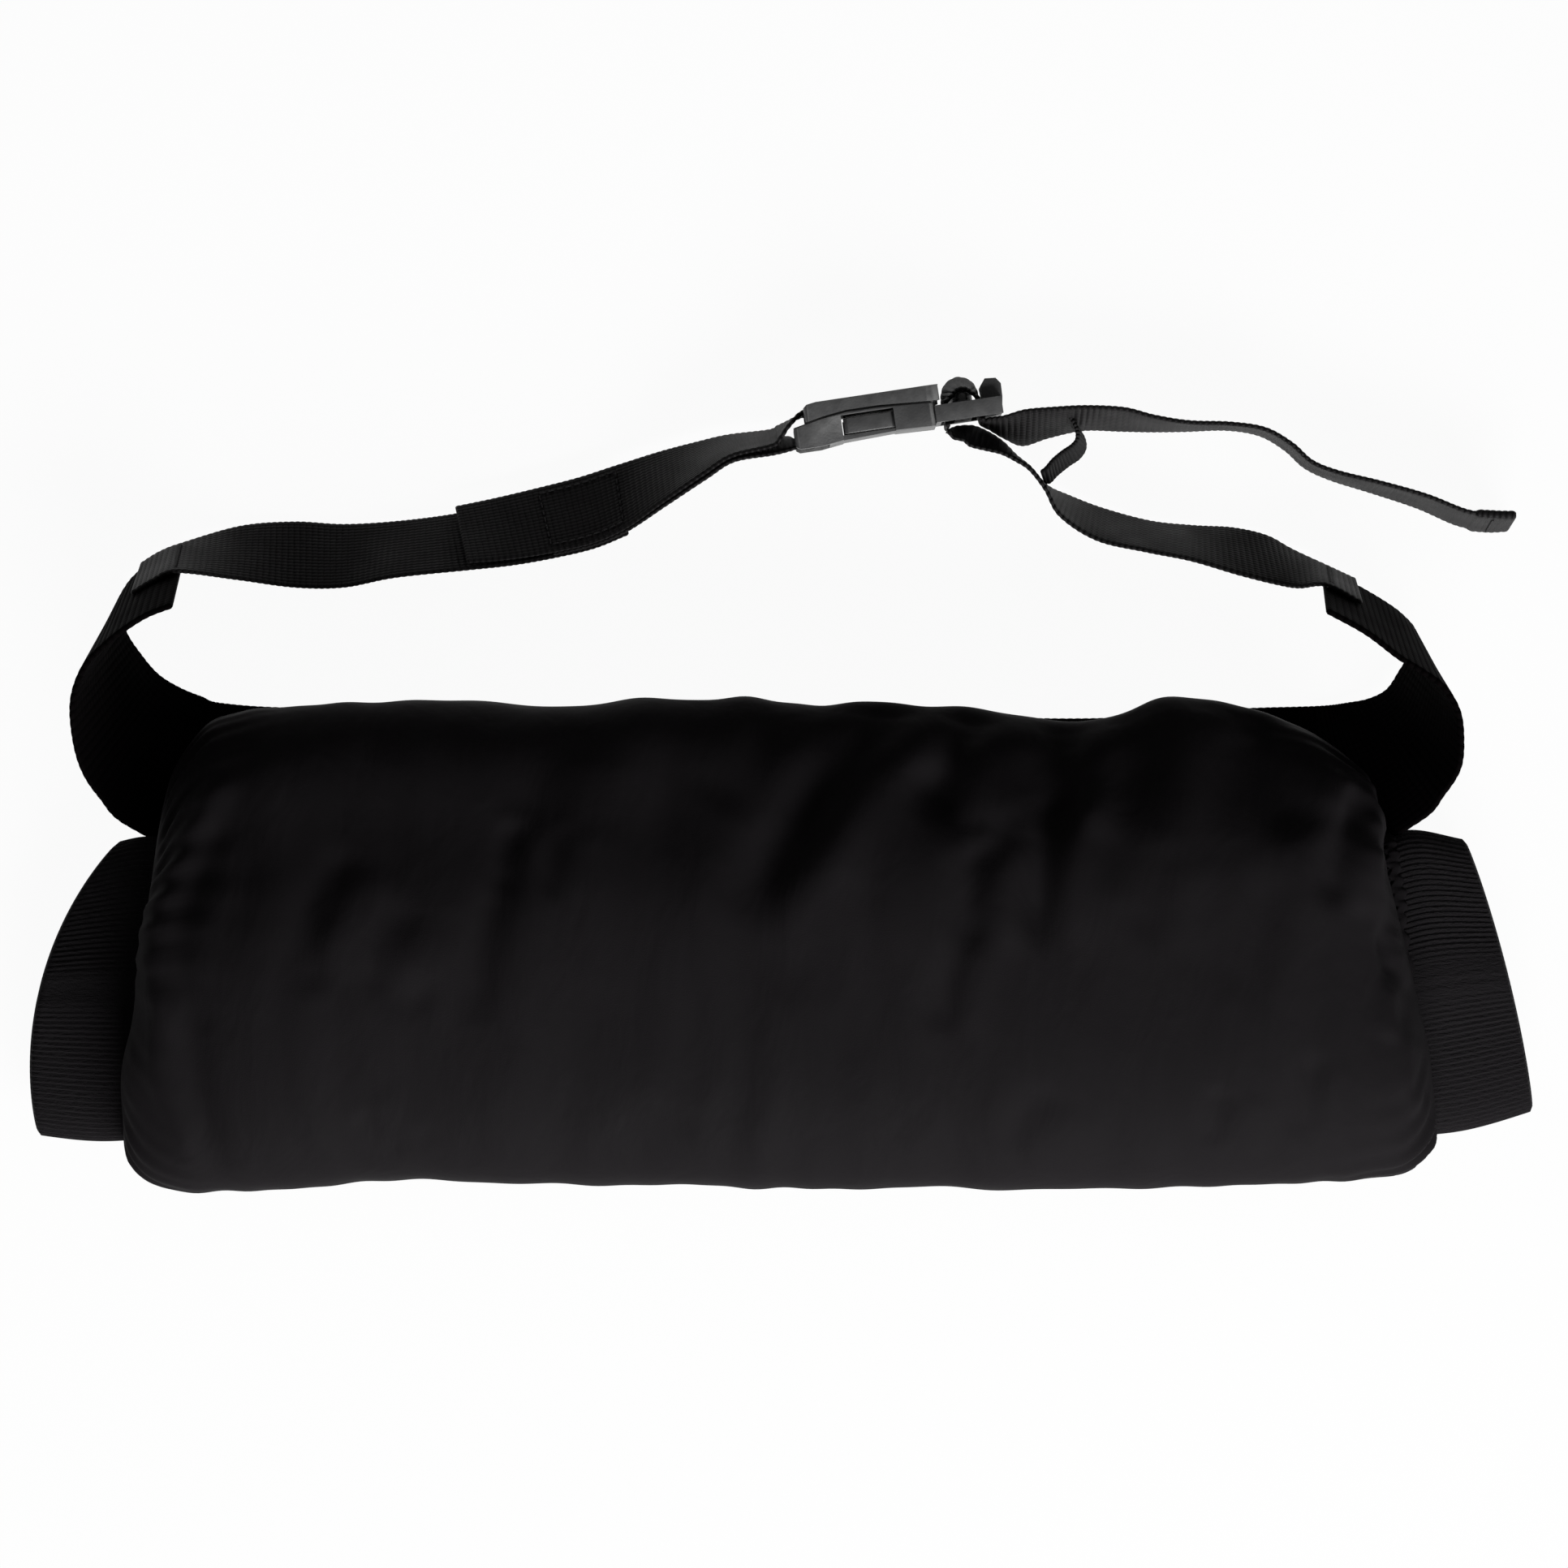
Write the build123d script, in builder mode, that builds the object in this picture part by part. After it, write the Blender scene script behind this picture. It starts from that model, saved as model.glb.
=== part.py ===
from build123d import *
import os
from math import cos, hypot, radians, sin, sqrt

os.makedirs("parts", exist_ok=True)

# A hand-warmer muff on a waist belt, lying on its back.  Millimetres, +Z up.  The origin is
# on the floor under the middle of the muff, +X runs along the muff towards the belt's
# adjuster side, and +Y points from the muff towards the buckle.

# ---- driving dimensions -------------------------------------------------------------
shell_wall = 1.2
lining_wall = 1.6
cuff_wall = 2.6
corner_share = 0.48  # corner radius of a soft section, as a share of its height
end_slant = 6.4  # degrees that the muff's ends lean inwards towards the belt side
muff_half_length = 194.0
lining_half_length = 184.0
root_slant = end_slant * lining_half_length / muff_half_length

band_width = 50.0
band_thickness = 2.0
band_bottom = 0.4  # the stitches under the band fill this
band_centre_y = 49.0
band_flat_half = 150.0
band_clearance = 0.3
channel_depth = 20.0

webbing_width = 25.0
webbing_thickness = 1.5
layer_pitch = 1.6  # from one webbing layer's middle to the next one's
band_to_webbing = (band_thickness + layer_pitch) / 2 + 0.05
hem_thickness = 2.8  # the strap's loose tip is turned over and sewn

buckle_angle = 8.4  # degrees from +X
buckle_x = 5.0
buckle_y = 160.0
buckle_width = 33.0
buckle_centre_z = buckle_width / 2
webbing_foot_z = buckle_centre_z - webbing_width / 2
housing_length = 44.0
groove_height = 0.7  # the line between the housing's plate and its body, seen from the side
groove_depth = 1.3
body_half_width = 16.0
mouth_half_width = 14.2
slot_half_width = 13.0
bar_across = (-3.0, 2.0)
cavity_across = (-3.9, 2.2)
housing_corner = 1.5
plate_rounding = 2.0
mouth_start = 12.0
slot_along = (5.0, 10.5)
window_along = (15.0, 31.5)
window_half_widths = (11.5, 17.0)  # the finger windows in the housing's two sides
buckle_gap = 0.3
rail_end = 65.2
rail_across = (-4.3, 1.0)
rail_half_widths = (12.9, 16.2)
web_across = (-3.5, 1.8)
web_half_width = 13.9
tongue_start = 20.0
tongue_across = (-3.2, 1.4)
tongue_half_width = 2.2
crossbar_along = (50.3, 55.6)
crossbar_across = (-4.2, 0.8)
bar_half_width = 12.95
roll_core_half_width = 12.3
prong_across = 4.8
prong_face = 1.2
knuckle_u = 39.5
knuckle_w = 9.0
knuckle_radius = 1.5
knuckle_clearance = 0.06

stitch_size = 0.5
stitch_height = 0.6
binding_thickness = 0.9  # the tape round the muff's ends, over the cuffs' roots
binding_left_x = -197.5
binding_right_x = 196.5
tack_length = 2.2
tack_width = 19.0
box_stitch_width = 20.0

# ---- the muff's sections: x, low y, high y, bottom z, height -------------------------
muff_sections = [
    (-194, -66, 50, 12.0, 40),
    (-187, -73, 63, 7.0, 53),
    (-172, -76, 72, 1.5, 66),
    (-140, -77, 76, -0.6, 72),
    (-60, -75, 76, -0.6, 73),
    (60, -75, 76, -0.6, 73),
    (135, -75, 74, -0.6, 72),
    (165, -73, 68, 1.5, 66),
    (183, -71, 50, 7.0, 53),
    (193, -64, 38, 12.0, 40),
]
# the lining's tube inside it, the same way; its ends meet the cuffs
lining_sections = [
    (-lining_half_length, -60, 29, 10.0, 24),
    (-150, -62, 56, 13.0, 42),
    (-90, -64, 64, 11.5, 50),
    (90, -64, 64, 11.5, 50),
    (150, -62, 54, 13.0, 42),
    (lining_half_length, -60, 28, 10.0, 24),
]
# cuffs: x at the middle, lean of the section in degrees, low y, high y, bottom z, height
left_cuff_sections = [
    (-lining_half_length, root_slant, -60, 29, 10.0, 24),
    (-203, 10.5, -63, 34, 5.0, 24),
    (-229, 17.5, -61, 29, 0.8, 22),
]
right_cuff_sections = [
    (lining_half_length, -root_slant, -60, 28, 10.0, 24),
    (203, -11.0, -60, 35, 5.0, 24),
    (226, -18.0, -54, 31, 0.8, 22),
]
# the arcs that the cuffs' mouths follow: centre and radius
left_mouth = (-126.0, -38.5, 108.1)
right_mouth = (36.2, -76.5, 202.4)

# ---- courses of the band and the straps ----------------------------------------------
# Each place along a strap gives x, y of the edge it stands on, x, y of its upper edge and
# the height of the lower edge's middle.  The upper edge's height follows from the width.
band_mid_z = band_bottom + band_thickness / 2
left_band_course = [
    (-150.0, 74.0, -150.0, 24.0, band_mid_z),
    (-174.5, 75.5, -179.5, 26.0, 1.6),
    (-181.0, 77.6, -203.0, 37.0, 1.8),
    (-188.0, 80.4, -210.5, 45.5, 2.0),
    (-194.5, 84.4, -215.5, 54.0, 2.2),
    (-200.0, 90.5, -217.8, 64.5, 2.2),
    (-205.0, 98.0, -217.8, 76.0, 2.2),
    (-206.6, 106.0, -213.8, 86.0, 2.2),
    (-203.5, 112.8, -207.6, 92.6, 2.2),
    (-198.8, 117.6, -201.5, 97.5, 2.2),
    (-193.0, 121.2, -194.5, 101.8, 2.2),
    (-186.0, 123.9, -186.7, 104.8, 2.2),
]
right_band_course = [
    (150.0, 74.0, 150.0, 24.0, band_mid_z),
    (170.0, 74.6, 177.5, 26.0, 1.6),
    (179.0, 75.6, 200.0, 38.5, 1.8),
    (186.0, 76.9, 206.5, 46.5, 2.0),
    (191.5, 79.8, 211.0, 54.5, 2.2),
    (195.5, 85.5, 211.6, 63.5, 2.2),
    (199.3, 92.0, 210.2, 72.0, 2.2),
    (199.6, 98.0, 205.4, 79.6, 2.2),
    (195.6, 103.0, 198.6, 84.6, 2.2),
    (189.9, 107.2, 191.8, 88.8, 2.2),
    (180.5, 112.6, 181.5, 96.5, 2.2),
    (171.0, 117.0, 169.3, 103.2, 2.2),
]
band_course = left_band_course[::-1] + right_band_course
left_strap_course = [
    (-168.6, 131.0, -169.0, 113.8, 1.5),
    (-151.7, 132.4, -151.0, 111.4, 1.2),
    (-136.0, 131.6, -135.5, 111.4, 1.2),
    (-118.5, 132.6, -119.5, 114.4, 1.4),
    (-101.0, 134.9, -96.5, 116.8, 1.6),
    (-88.0, 137.9, -82.8, 118.3, 1.8),
    (-75.0, 141.2, -69.8, 120.6, 1.9),
    (-62.0, 144.6, -57.2, 123.6, 2.0),
    (-50.0, 148.2, -46.5, 127.9, 2.4),
    (-36.0, 151.9, -34.2, 135.6, 2.8),
    (-24.0, 154.5, -21.5, 143.8, 3.2),
    (-14.5, 156.4, -13.0, 149.0, 3.6),
]
overlap_start = 4  # the looped strap's front layer begins here
stitch_start = 6
overlap_end = 8  # the strap from the band ends here
right_strap_course = [
    (161.5, 123.6, 162.5, 111.2, 1.8),
    (153.5, 128.0, 156.0, 112.2, 1.4),
    (143.0, 130.4, 144.0, 115.2, 1.2),
    (130.5, 131.0, 129.0, 119.6, 1.4),
    (117.0, 132.4, 115.0, 122.4, 1.6),
    (102.0, 136.4, 99.5, 126.0, 2.0),
    (90.8, 140.6, 88.0, 133.4, 2.6),
    (84.2, 144.6, 82.7, 142.0, 3.2),
    (78.4, 151.8, 77.0, 148.8, 3.6),
    (72.6, 157.0, 71.0, 152.4, 3.7),
    (66.6, 159.6, 64.8, 154.0, 3.8),
    (60.8, 159.6, 59.2, 155.4, 3.9),
]
tail_course = [
    (77.0, 161.6, 77.0, 164.2, 3.6),
    (85.0, 161.4, 85.0, 166.6, 3.0),
    (96.0, 161.4, 96.0, 167.4, 2.4),
    (108.0, 161.1, 108.0, 166.8, 1.8),
    (117.0, 161.0, 117.2, 164.4, 1.4),
    (128.0, 161.2, 128.0, 162.6, 1.2),
    (141.0, 161.6, 141.2, 162.1, 1.2),
    (151.5, 159.8, 151.8, 160.4, 1.2),
    (159.5, 155.2, 160.0, 155.8, 1.2),
    (165.8, 149.6, 166.3, 150.3, 1.2),
    (174.0, 145.8, 174.6, 147.0, 1.2),
    (187.0, 141.7, 187.8, 143.8, 1.2),
    (201.0, 137.0, 202.0, 139.8, 1.2),
    (213.5, 131.6, 214.5, 135.0, 1.2),
    (222.5, 130.2, 222.9, 134.0, 1.2),
    (229.5, 130.5, 229.8, 133.8, 1.2),
]
# round the buckle's bar and through the adjuster, in the buckle's own directions:
# along it and across its thickness, at the strap's lower edge and at its upper edge
bar_loop = [
    (-7.6, 1.7, -7.4, -2.0),
    (-1.5, 3.7, -1.5, 2.4),
    (3.2, 5.0, 3.2, 4.9),
    (6.4, 4.3, 6.4, 4.2),
    (8.0, 0.8, 8.0, 0.7),
    (7.6, -2.8, 7.6, -2.9),
    (5.6, -4.9, 5.6, -5.0),
    (2.5, -5.0, 2.5, -5.2),
    (-1.5, -4.6, -1.5, -5.4),
    (-7.6, -2.2, -7.4, -5.8),
]
adjuster_entry = [
    (51.8, -10.2, 51.8, -10.8),
    (49.2, -9.3, 49.2, -9.6),
    (48.0, -8.4, 48.0, -8.4),
    (47.7, -6.7, 47.7, -6.7),
]
adjuster_roll = [
    (47.7, -6.3),
    (47.6, -3.0),
    (47.6, 1.0),
    (47.9, 4.8),
    (49.6, 8.0),
    (53.2, 9.5),
    (56.8, 8.0),
    (58.4, 4.8),
    (58.6, 1.0),
    (58.2, -3.0),
    (58.9, -5.8),
    (61.2, -7.4),
    (65.5, -7.9),
]
keeper_width = 12.0
keeper_thickness = 1.4
keeper_foot_z = 7.0
keeper_course = [
    (82.7, 149.4, 82.4, 149.0, keeper_foot_z),
    (84.4, 147.7, 84.3, 147.9, keeper_foot_z),
    (86.4, 147.0, 85.9, 147.9, keeper_foot_z),
    (90.2, 148.4, 89.0, 149.8, keeper_foot_z),
    (94.6, 150.9, 92.9, 152.1, keeper_foot_z),
    (97.0, 155.0, 94.6, 155.0, keeper_foot_z),
    (94.6, 158.9, 93.0, 157.9, keeper_foot_z),
    (88.8, 159.5, 88.0, 157.9, keeper_foot_z),
    (82.4, 159.5, 81.6, 157.1, keeper_foot_z),
    (77.0, 159.4, 76.2, 156.3, keeper_foot_z),
]


def muff_plane(x, slant):
    """A section plane across the muff: its x runs along Y, turned by the slant, its y up."""
    turn = radians(slant)
    return Plane(
        origin=(x, 0, 0),
        x_dir=(sin(turn), cos(turn), 0),
        z_dir=(cos(turn), -sin(turn), 0),
    )


def soft_section(plane, low_y, high_y, bottom, height, wall):
    """A rounded section of a soft tube, taken in by a wall: its plane, centre and size."""
    centre = ((low_y + high_y) / 2, bottom + height / 2)
    return plane, centre, high_y - low_y - 2 * wall, height - 2 * wall


def muff_outlines(sections, wall=0.0, end_wall=0.0):
    """Sections along the muff; the first and last are taken in by the end wall."""
    outlines = []
    for place, (x, *shape) in enumerate(sections):
        inward = end_wall if place == 0 else -end_wall if place == len(sections) - 1 else 0
        plane = muff_plane(x + inward, -end_slant * x / muff_half_length)
        outlines.append(soft_section(plane, *shape, wall))
    return outlines


def cuff_outlines(sections, wall=0.0):
    """Sections along a cuff, each leaning its own way."""
    return [soft_section(muff_plane(x, slant), *shape, wall) for x, slant, *shape in sections]


def round_mouth(centre_x, centre_y, radius):
    """Keeps only what lies inside an upright cylinder."""
    with Locations((centre_x, centre_y, 0)):
        Cylinder(radius, 200, mode=Mode.INTERSECT)


def trim_box(low, high):
    """Cuts a box away, given by two corners."""
    middle = tuple((a + b) / 2 for a, b in zip(low, high))
    with Locations(middle):
        Box(*[b - a for a, b in zip(low, high)], mode=Mode.SUBTRACT)


def flatten_underside(wall):
    """The flat that the muff rests on."""
    trim_box((-260, -120, -20), (260, 120, wall))


def channel_section(wall=0.0):
    """The hollow that the band lies in, open downwards: centre and size about the band."""
    low_x, high_x = -band_width / 2 - channel_depth, band_width / 2 + band_clearance + wall
    low_y, high_y = -band_thickness / 2 - band_clearance - wall, channel_depth
    centre = ((low_x + high_x) / 2, (low_y + high_y) / 2)
    return centre, high_x - low_x, high_y - low_y


def strap_edges(place, width):
    """The middle of the lower edge and of the upper edge at one place of a course."""
    foot_x, foot_y, top_x, top_y, foot_z = place
    spread = hypot(top_x - foot_x, top_y - foot_y)
    rise = sqrt(max(width**2 - spread**2, 0))
    return Vector(foot_x, foot_y, foot_z), Vector(top_x, top_y, foot_z + rise)


def strap_plane(course, index, width, across=0.0, lift=0.0):
    """The section plane at one place: its x from the lower edge to the upper one."""
    middles = []
    for near in (max(index - 1, 0), min(index + 1, len(course) - 1)):
        low, high = strap_edges(course[near], width)
        middles.append((low + high) * 0.5)
    run = middles[1] - middles[0]
    foot, top = strap_edges(course[index], width)
    rising = (top - foot).normalized()
    along = (run - rising * run.dot(rising)).normalized()
    plane = Plane(origin=(foot + top) * 0.5, x_dir=rising, z_dir=along)
    plane.origin = plane.origin + plane.x_dir * across + plane.y_dir * lift
    return plane


def buckle_point(u, v):
    """A point of the plan, from the distance along and across the buckle."""
    turn = radians(buckle_angle)
    x = buckle_x + u * cos(turn) - v * sin(turn)
    y = buckle_y + u * sin(turn) + v * cos(turn)
    return (x, y)


def buckle_direction(u, v):
    """A level direction, from its parts along and across the buckle."""
    turn = radians(buckle_angle)
    return Vector(u * cos(turn) - v * sin(turn), u * sin(turn) + v * cos(turn), 0)


def buckle_plan(w=0.0):
    """A level plane in the buckle's own directions: x along it, y across its thickness."""
    turn = radians(buckle_angle)
    return Plane(
        origin=(buckle_x, buckle_y, buckle_centre_z + w),
        x_dir=(cos(turn), sin(turn), 0),
        z_dir=(0, 0, 1),
    )


def buckle_face(v):
    """An upright plane along the buckle: x along it, y along its width, facing away."""
    x, y = buckle_point(0, v)
    return Plane(
        origin=(x, y, buckle_centre_z),
        x_dir=buckle_direction(1, 0),
        z_dir=buckle_direction(0, -1),
    )


def buckle_block(along, across, upright, mode=Mode.ADD):
    """A box in the buckle's directions, from its two limits along each."""
    u, v, w = (sum(limits) / 2 for limits in (along, across, upright))
    x, y = buckle_point(u, v)
    with Locations(Location((x, y, buckle_centre_z + w), (0, 0, buckle_angle))):
        Box(*[high - low for low, high in (along, across, upright)], mode=mode)


def on_band(course, first, side):
    """A strap's sections where it is sewn on the band's end, flush with its lower edge."""
    inset = (webbing_width - band_width) / 2
    lift = side * band_to_webbing
    places = range(first, len(course))
    return [strap_plane(course, index, band_width, inset, lift) for index in places]


def turned(plane):
    """The same section, met from the other side."""
    return Plane(origin=plane.origin, x_dir=plane.x_dir, z_dir=-plane.z_dir)


def buckle_course(loop):
    """A strap's places near the buckle, turned from its own directions into the plan."""
    places = []
    for foot_u, foot_v, top_u, top_v in loop:
        places.append((*buckle_point(foot_u, foot_v), *buckle_point(top_u, top_v), webbing_foot_z))
    return places


def strap_planes(course, width=webbing_width):
    """All section planes of a course."""
    return [strap_plane(course, index, width) for index in range(len(course))]


def write(part, name):
    """Labels a finished piece and writes its STEP file."""
    part.label = name
    export_step(part, f"parts/{name}.step")


# ---- muff: shell, wadding, lining, cuffs ------------------------------------------------
band_middle = len(left_band_course)
channel_planes = [
    strap_plane(band_course, index, band_width)
    for index in range(band_middle - 4, band_middle + 4)
]
with BuildPart() as band_channel:
    for plane in channel_planes:
        centre, wide, high = channel_section()
        with BuildSketch(plane):
            with Locations(centre):
                Rectangle(wide, high)
    loft(ruled=True)

with BuildPart() as inner_channel:
    for plane in channel_planes:
        centre, wide, high = channel_section(shell_wall)
        with BuildSketch(plane):
            with Locations(centre):
                Rectangle(wide, high)
    loft(ruled=True)

with BuildPart() as muff_outside:
    for plane, centre, wide, high in muff_outlines(muff_sections):
        with BuildSketch(plane):
            with Locations(centre):
                RectangleRounded(wide, high, high * corner_share)
    loft()
    flatten_underside(0)
    add(band_channel.part, mode=Mode.SUBTRACT)

with BuildPart() as muff_inside:
    for plane, centre, wide, high in muff_outlines(muff_sections, shell_wall, shell_wall):
        with BuildSketch(plane):
            with Locations(centre):
                RectangleRounded(wide, high, high * corner_share)
    loft()
    flatten_underside(shell_wall)
    add(inner_channel.part, mode=Mode.SUBTRACT)

with BuildPart() as lining_outside:
    for plane, centre, wide, high in muff_outlines(lining_sections):
        with BuildSketch(plane):
            with Locations(centre):
                RectangleRounded(wide, high, high * corner_share)
    loft()
    add(inner_channel.part, mode=Mode.SUBTRACT)

with BuildPart() as left_cuff_outside:
    for plane, centre, wide, high in cuff_outlines(left_cuff_sections):
        with BuildSketch(plane):
            with Locations(centre):
                RectangleRounded(wide, high, high * corner_share)
    loft()
    round_mouth(*left_mouth)
    add(band_channel.part, mode=Mode.SUBTRACT)

with BuildPart() as right_cuff_outside:
    for plane, centre, wide, high in cuff_outlines(right_cuff_sections):
        with BuildSketch(plane):
            with Locations(centre):
                RectangleRounded(wide, high, high * corner_share)
    loft()
    round_mouth(*right_mouth)
    add(band_channel.part, mode=Mode.SUBTRACT)

with BuildPart() as outer_shell:
    add(muff_outside.part)
    add(muff_inside.part, mode=Mode.SUBTRACT)
    add(left_cuff_outside.part, mode=Mode.SUBTRACT)
    add(right_cuff_outside.part, mode=Mode.SUBTRACT)

with BuildPart() as wadding:
    add(muff_inside.part)
    add(lining_outside.part, mode=Mode.SUBTRACT)
    add(left_cuff_outside.part, mode=Mode.SUBTRACT)
    add(right_cuff_outside.part, mode=Mode.SUBTRACT)

with BuildPart() as fleece_lining:
    add(lining_outside.part)
    for plane, centre, wide, high in muff_outlines(lining_sections, lining_wall):
        with BuildSketch(plane):
            with Locations(centre):
                RectangleRounded(wide, high, high * corner_share)
    loft(mode=Mode.SUBTRACT)

with BuildPart() as left_cuff:
    add(left_cuff_outside.part)
    for plane, centre, wide, high in cuff_outlines(left_cuff_sections, cuff_wall):
        with BuildSketch(plane):
            with Locations(centre):
                RectangleRounded(wide, high, high * corner_share)
    loft(mode=Mode.SUBTRACT)

with BuildPart() as right_cuff:
    add(right_cuff_outside.part)
    for plane, centre, wide, high in cuff_outlines(right_cuff_sections, cuff_wall):
        with BuildSketch(plane):
            with Locations(centre):
                RectangleRounded(wide, high, high * corner_share)
    loft(mode=Mode.SUBTRACT)

with BuildPart() as left_binding:
    for plane, centre, wide, high in cuff_outlines(left_cuff_sections, -binding_thickness):
        with BuildSketch(plane):
            with Locations(centre):
                RectangleRounded(wide, high, high * corner_share)
    loft()
    add(left_cuff_outside.part, mode=Mode.SUBTRACT)
    add(muff_outside.part, mode=Mode.SUBTRACT)
    add(band_channel.part, mode=Mode.SUBTRACT)
    split(bisect_by=muff_plane(binding_left_x, root_slant), keep=Keep.TOP)

with BuildPart() as right_binding:
    for plane, centre, wide, high in cuff_outlines(right_cuff_sections, -binding_thickness):
        with BuildSketch(plane):
            with Locations(centre):
                RectangleRounded(wide, high, high * corner_share)
    loft()
    add(right_cuff_outside.part, mode=Mode.SUBTRACT)
    add(muff_outside.part, mode=Mode.SUBTRACT)
    add(band_channel.part, mode=Mode.SUBTRACT)
    split(bisect_by=muff_plane(binding_right_x, -root_slant), keep=Keep.BOTTOM)

write(left_binding.part, "left_binding")
write(right_binding.part, "right_binding")
write(outer_shell.part, "outer_shell")
write(wadding.part, "wadding")
write(fleece_lining.part, "fleece_lining")
write(left_cuff.part, "left_cuff")
write(right_cuff.part, "right_cuff")

# ---- waist band: one wide elastic from curl to curl -------------------------------------
with BuildPart() as waist_band:
    for index in range(len(band_course)):
        with BuildSketch(strap_plane(band_course, index, band_width)):
            Rectangle(band_width, band_thickness)
    loft(ruled=True)

write(waist_band.part, "waist_band")

# ---- straps ------------------------------------------------------------------------------
left_sewn = len(left_band_course) - 3
right_sewn = len(right_band_course) - 2
roll_places = [(u, v, u, v) for u, v in adjuster_roll]

with BuildPart() as left_strap:
    planes = on_band(left_band_course, left_sewn, -1)
    planes += strap_planes(left_strap_course)[: overlap_end + 1]
    for plane in planes:
        with BuildSketch(plane):
            Rectangle(webbing_width, webbing_thickness)
    loft(ruled=True)

with BuildPart() as buckle_strap:
    planes = []
    for index in range(overlap_start, len(left_strap_course)):
        planes.append(strap_plane(left_strap_course, index, webbing_width, 0, -2 * layer_pitch))
    planes += strap_planes(buckle_course(bar_loop))
    for index in range(len(left_strap_course) - 1, stitch_start - 1, -1):
        back = strap_plane(left_strap_course, index, webbing_width, 0, -layer_pitch)
        planes.append(turned(back))
    for plane in planes:
        with BuildSketch(plane):
            Rectangle(webbing_width, webbing_thickness)
    loft(ruled=True)

with BuildPart() as right_strap:
    planes = on_band(right_band_course, right_sewn, 1)
    planes += strap_planes(right_strap_course)
    planes += strap_planes(buckle_course(adjuster_entry))
    for plane in planes:
        with BuildSketch(plane):
            Rectangle(webbing_width, webbing_thickness)
    loft(ruled=True)

with BuildPart() as tail_strap:
    planes = strap_planes(buckle_course(roll_places)) + strap_planes(tail_course)
    for index, plane in enumerate(planes):
        doubled = index >= len(planes) - 2
        with BuildSketch(plane):
            Rectangle(webbing_width, hem_thickness if doubled else webbing_thickness)
    loft(ruled=True)

with BuildPart() as strap_keeper:
    for plane in strap_planes(keeper_course, keeper_width):
        with BuildSketch(plane):
            Rectangle(keeper_width, keeper_thickness)
    loft(ruled=True)

write(left_strap.part, "left_strap")
write(buckle_strap.part, "buckle_strap")
write(right_strap.part, "right_strap")
write(tail_strap.part, "tail_strap")
write(strap_keeper.part, "strap_keeper")

# ---- buckle: u along it, v across its thickness, w along its width ----------------------
across_axis = Axis((0, 0, 0), buckle_direction(0, 1))

parting_line = [(0, 0.4), (3.8, 1.2), (9.9, 2.4), (17, 3.3), (27.5, 3.3), (housing_length, 2.2)]
plate_outline = [
    *parting_line[1:],
    (housing_length, 7.5),
    (22.0, 7.6),
    (8.0, 7.45),
    (5.0, 7.0),
    (3.8, 6.0),
]
body_outline = [
    *parting_line,
    (housing_length, -5.2),
    (31.5, -4.8),
    (15.5, -5.4),
    (8.0, -6.4),
    (1.2, -6.4),
    (0, -5.6),
]
groove_outline = [(u, v - groove_height / 2) for u, v in parting_line]
groove_outline += [(u, v + groove_height / 2) for u, v in parting_line[::-1]]

with BuildPart() as housing_body:
    with BuildSketch(buckle_face(-7)):
        with Locations((housing_length / 2, 0)):
            RectangleRounded(housing_length, 2 * body_half_width, housing_corner)
    extrude(amount=-11)
    with BuildSketch(buckle_plan(-buckle_width / 2)):
        Polygon(*body_outline, align=None)
    extrude(amount=buckle_width, mode=Mode.INTERSECT)

with BuildPart() as buckle_housing:
    with BuildSketch(buckle_plan(-buckle_width / 2)):
        Polygon(*plate_outline, align=None)
    extrude(amount=buckle_width)
    fillet(edges().filter_by(across_axis), radius=plate_rounding)
    add(housing_body.part)
    mouth = (-mouth_half_width, mouth_half_width)
    buckle_block((mouth_start, housing_length + 1), cavity_across, mouth, Mode.SUBTRACT)
    for side in (-1, 1):
        window = tuple(sorted(side * width for width in window_half_widths))
        buckle_block(window_along, (-7, 2.3), window, Mode.SUBTRACT)
    for start in (-buckle_width / 2, buckle_width / 2 - groove_depth):
        with BuildSketch(buckle_plan(start)):
            Polygon(*groove_outline, align=None)
        extrude(amount=groove_depth, mode=Mode.SUBTRACT)
    slot = (-slot_half_width, slot_half_width)
    bar_along = (-1, slot_along[0])
    buckle_block(slot_along, (-8, 8), slot, Mode.SUBTRACT)
    buckle_block(bar_along, (bar_across[1], 8), slot, Mode.SUBTRACT)
    buckle_block(bar_along, (-8, bar_across[0]), slot, Mode.SUBTRACT)

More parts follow.
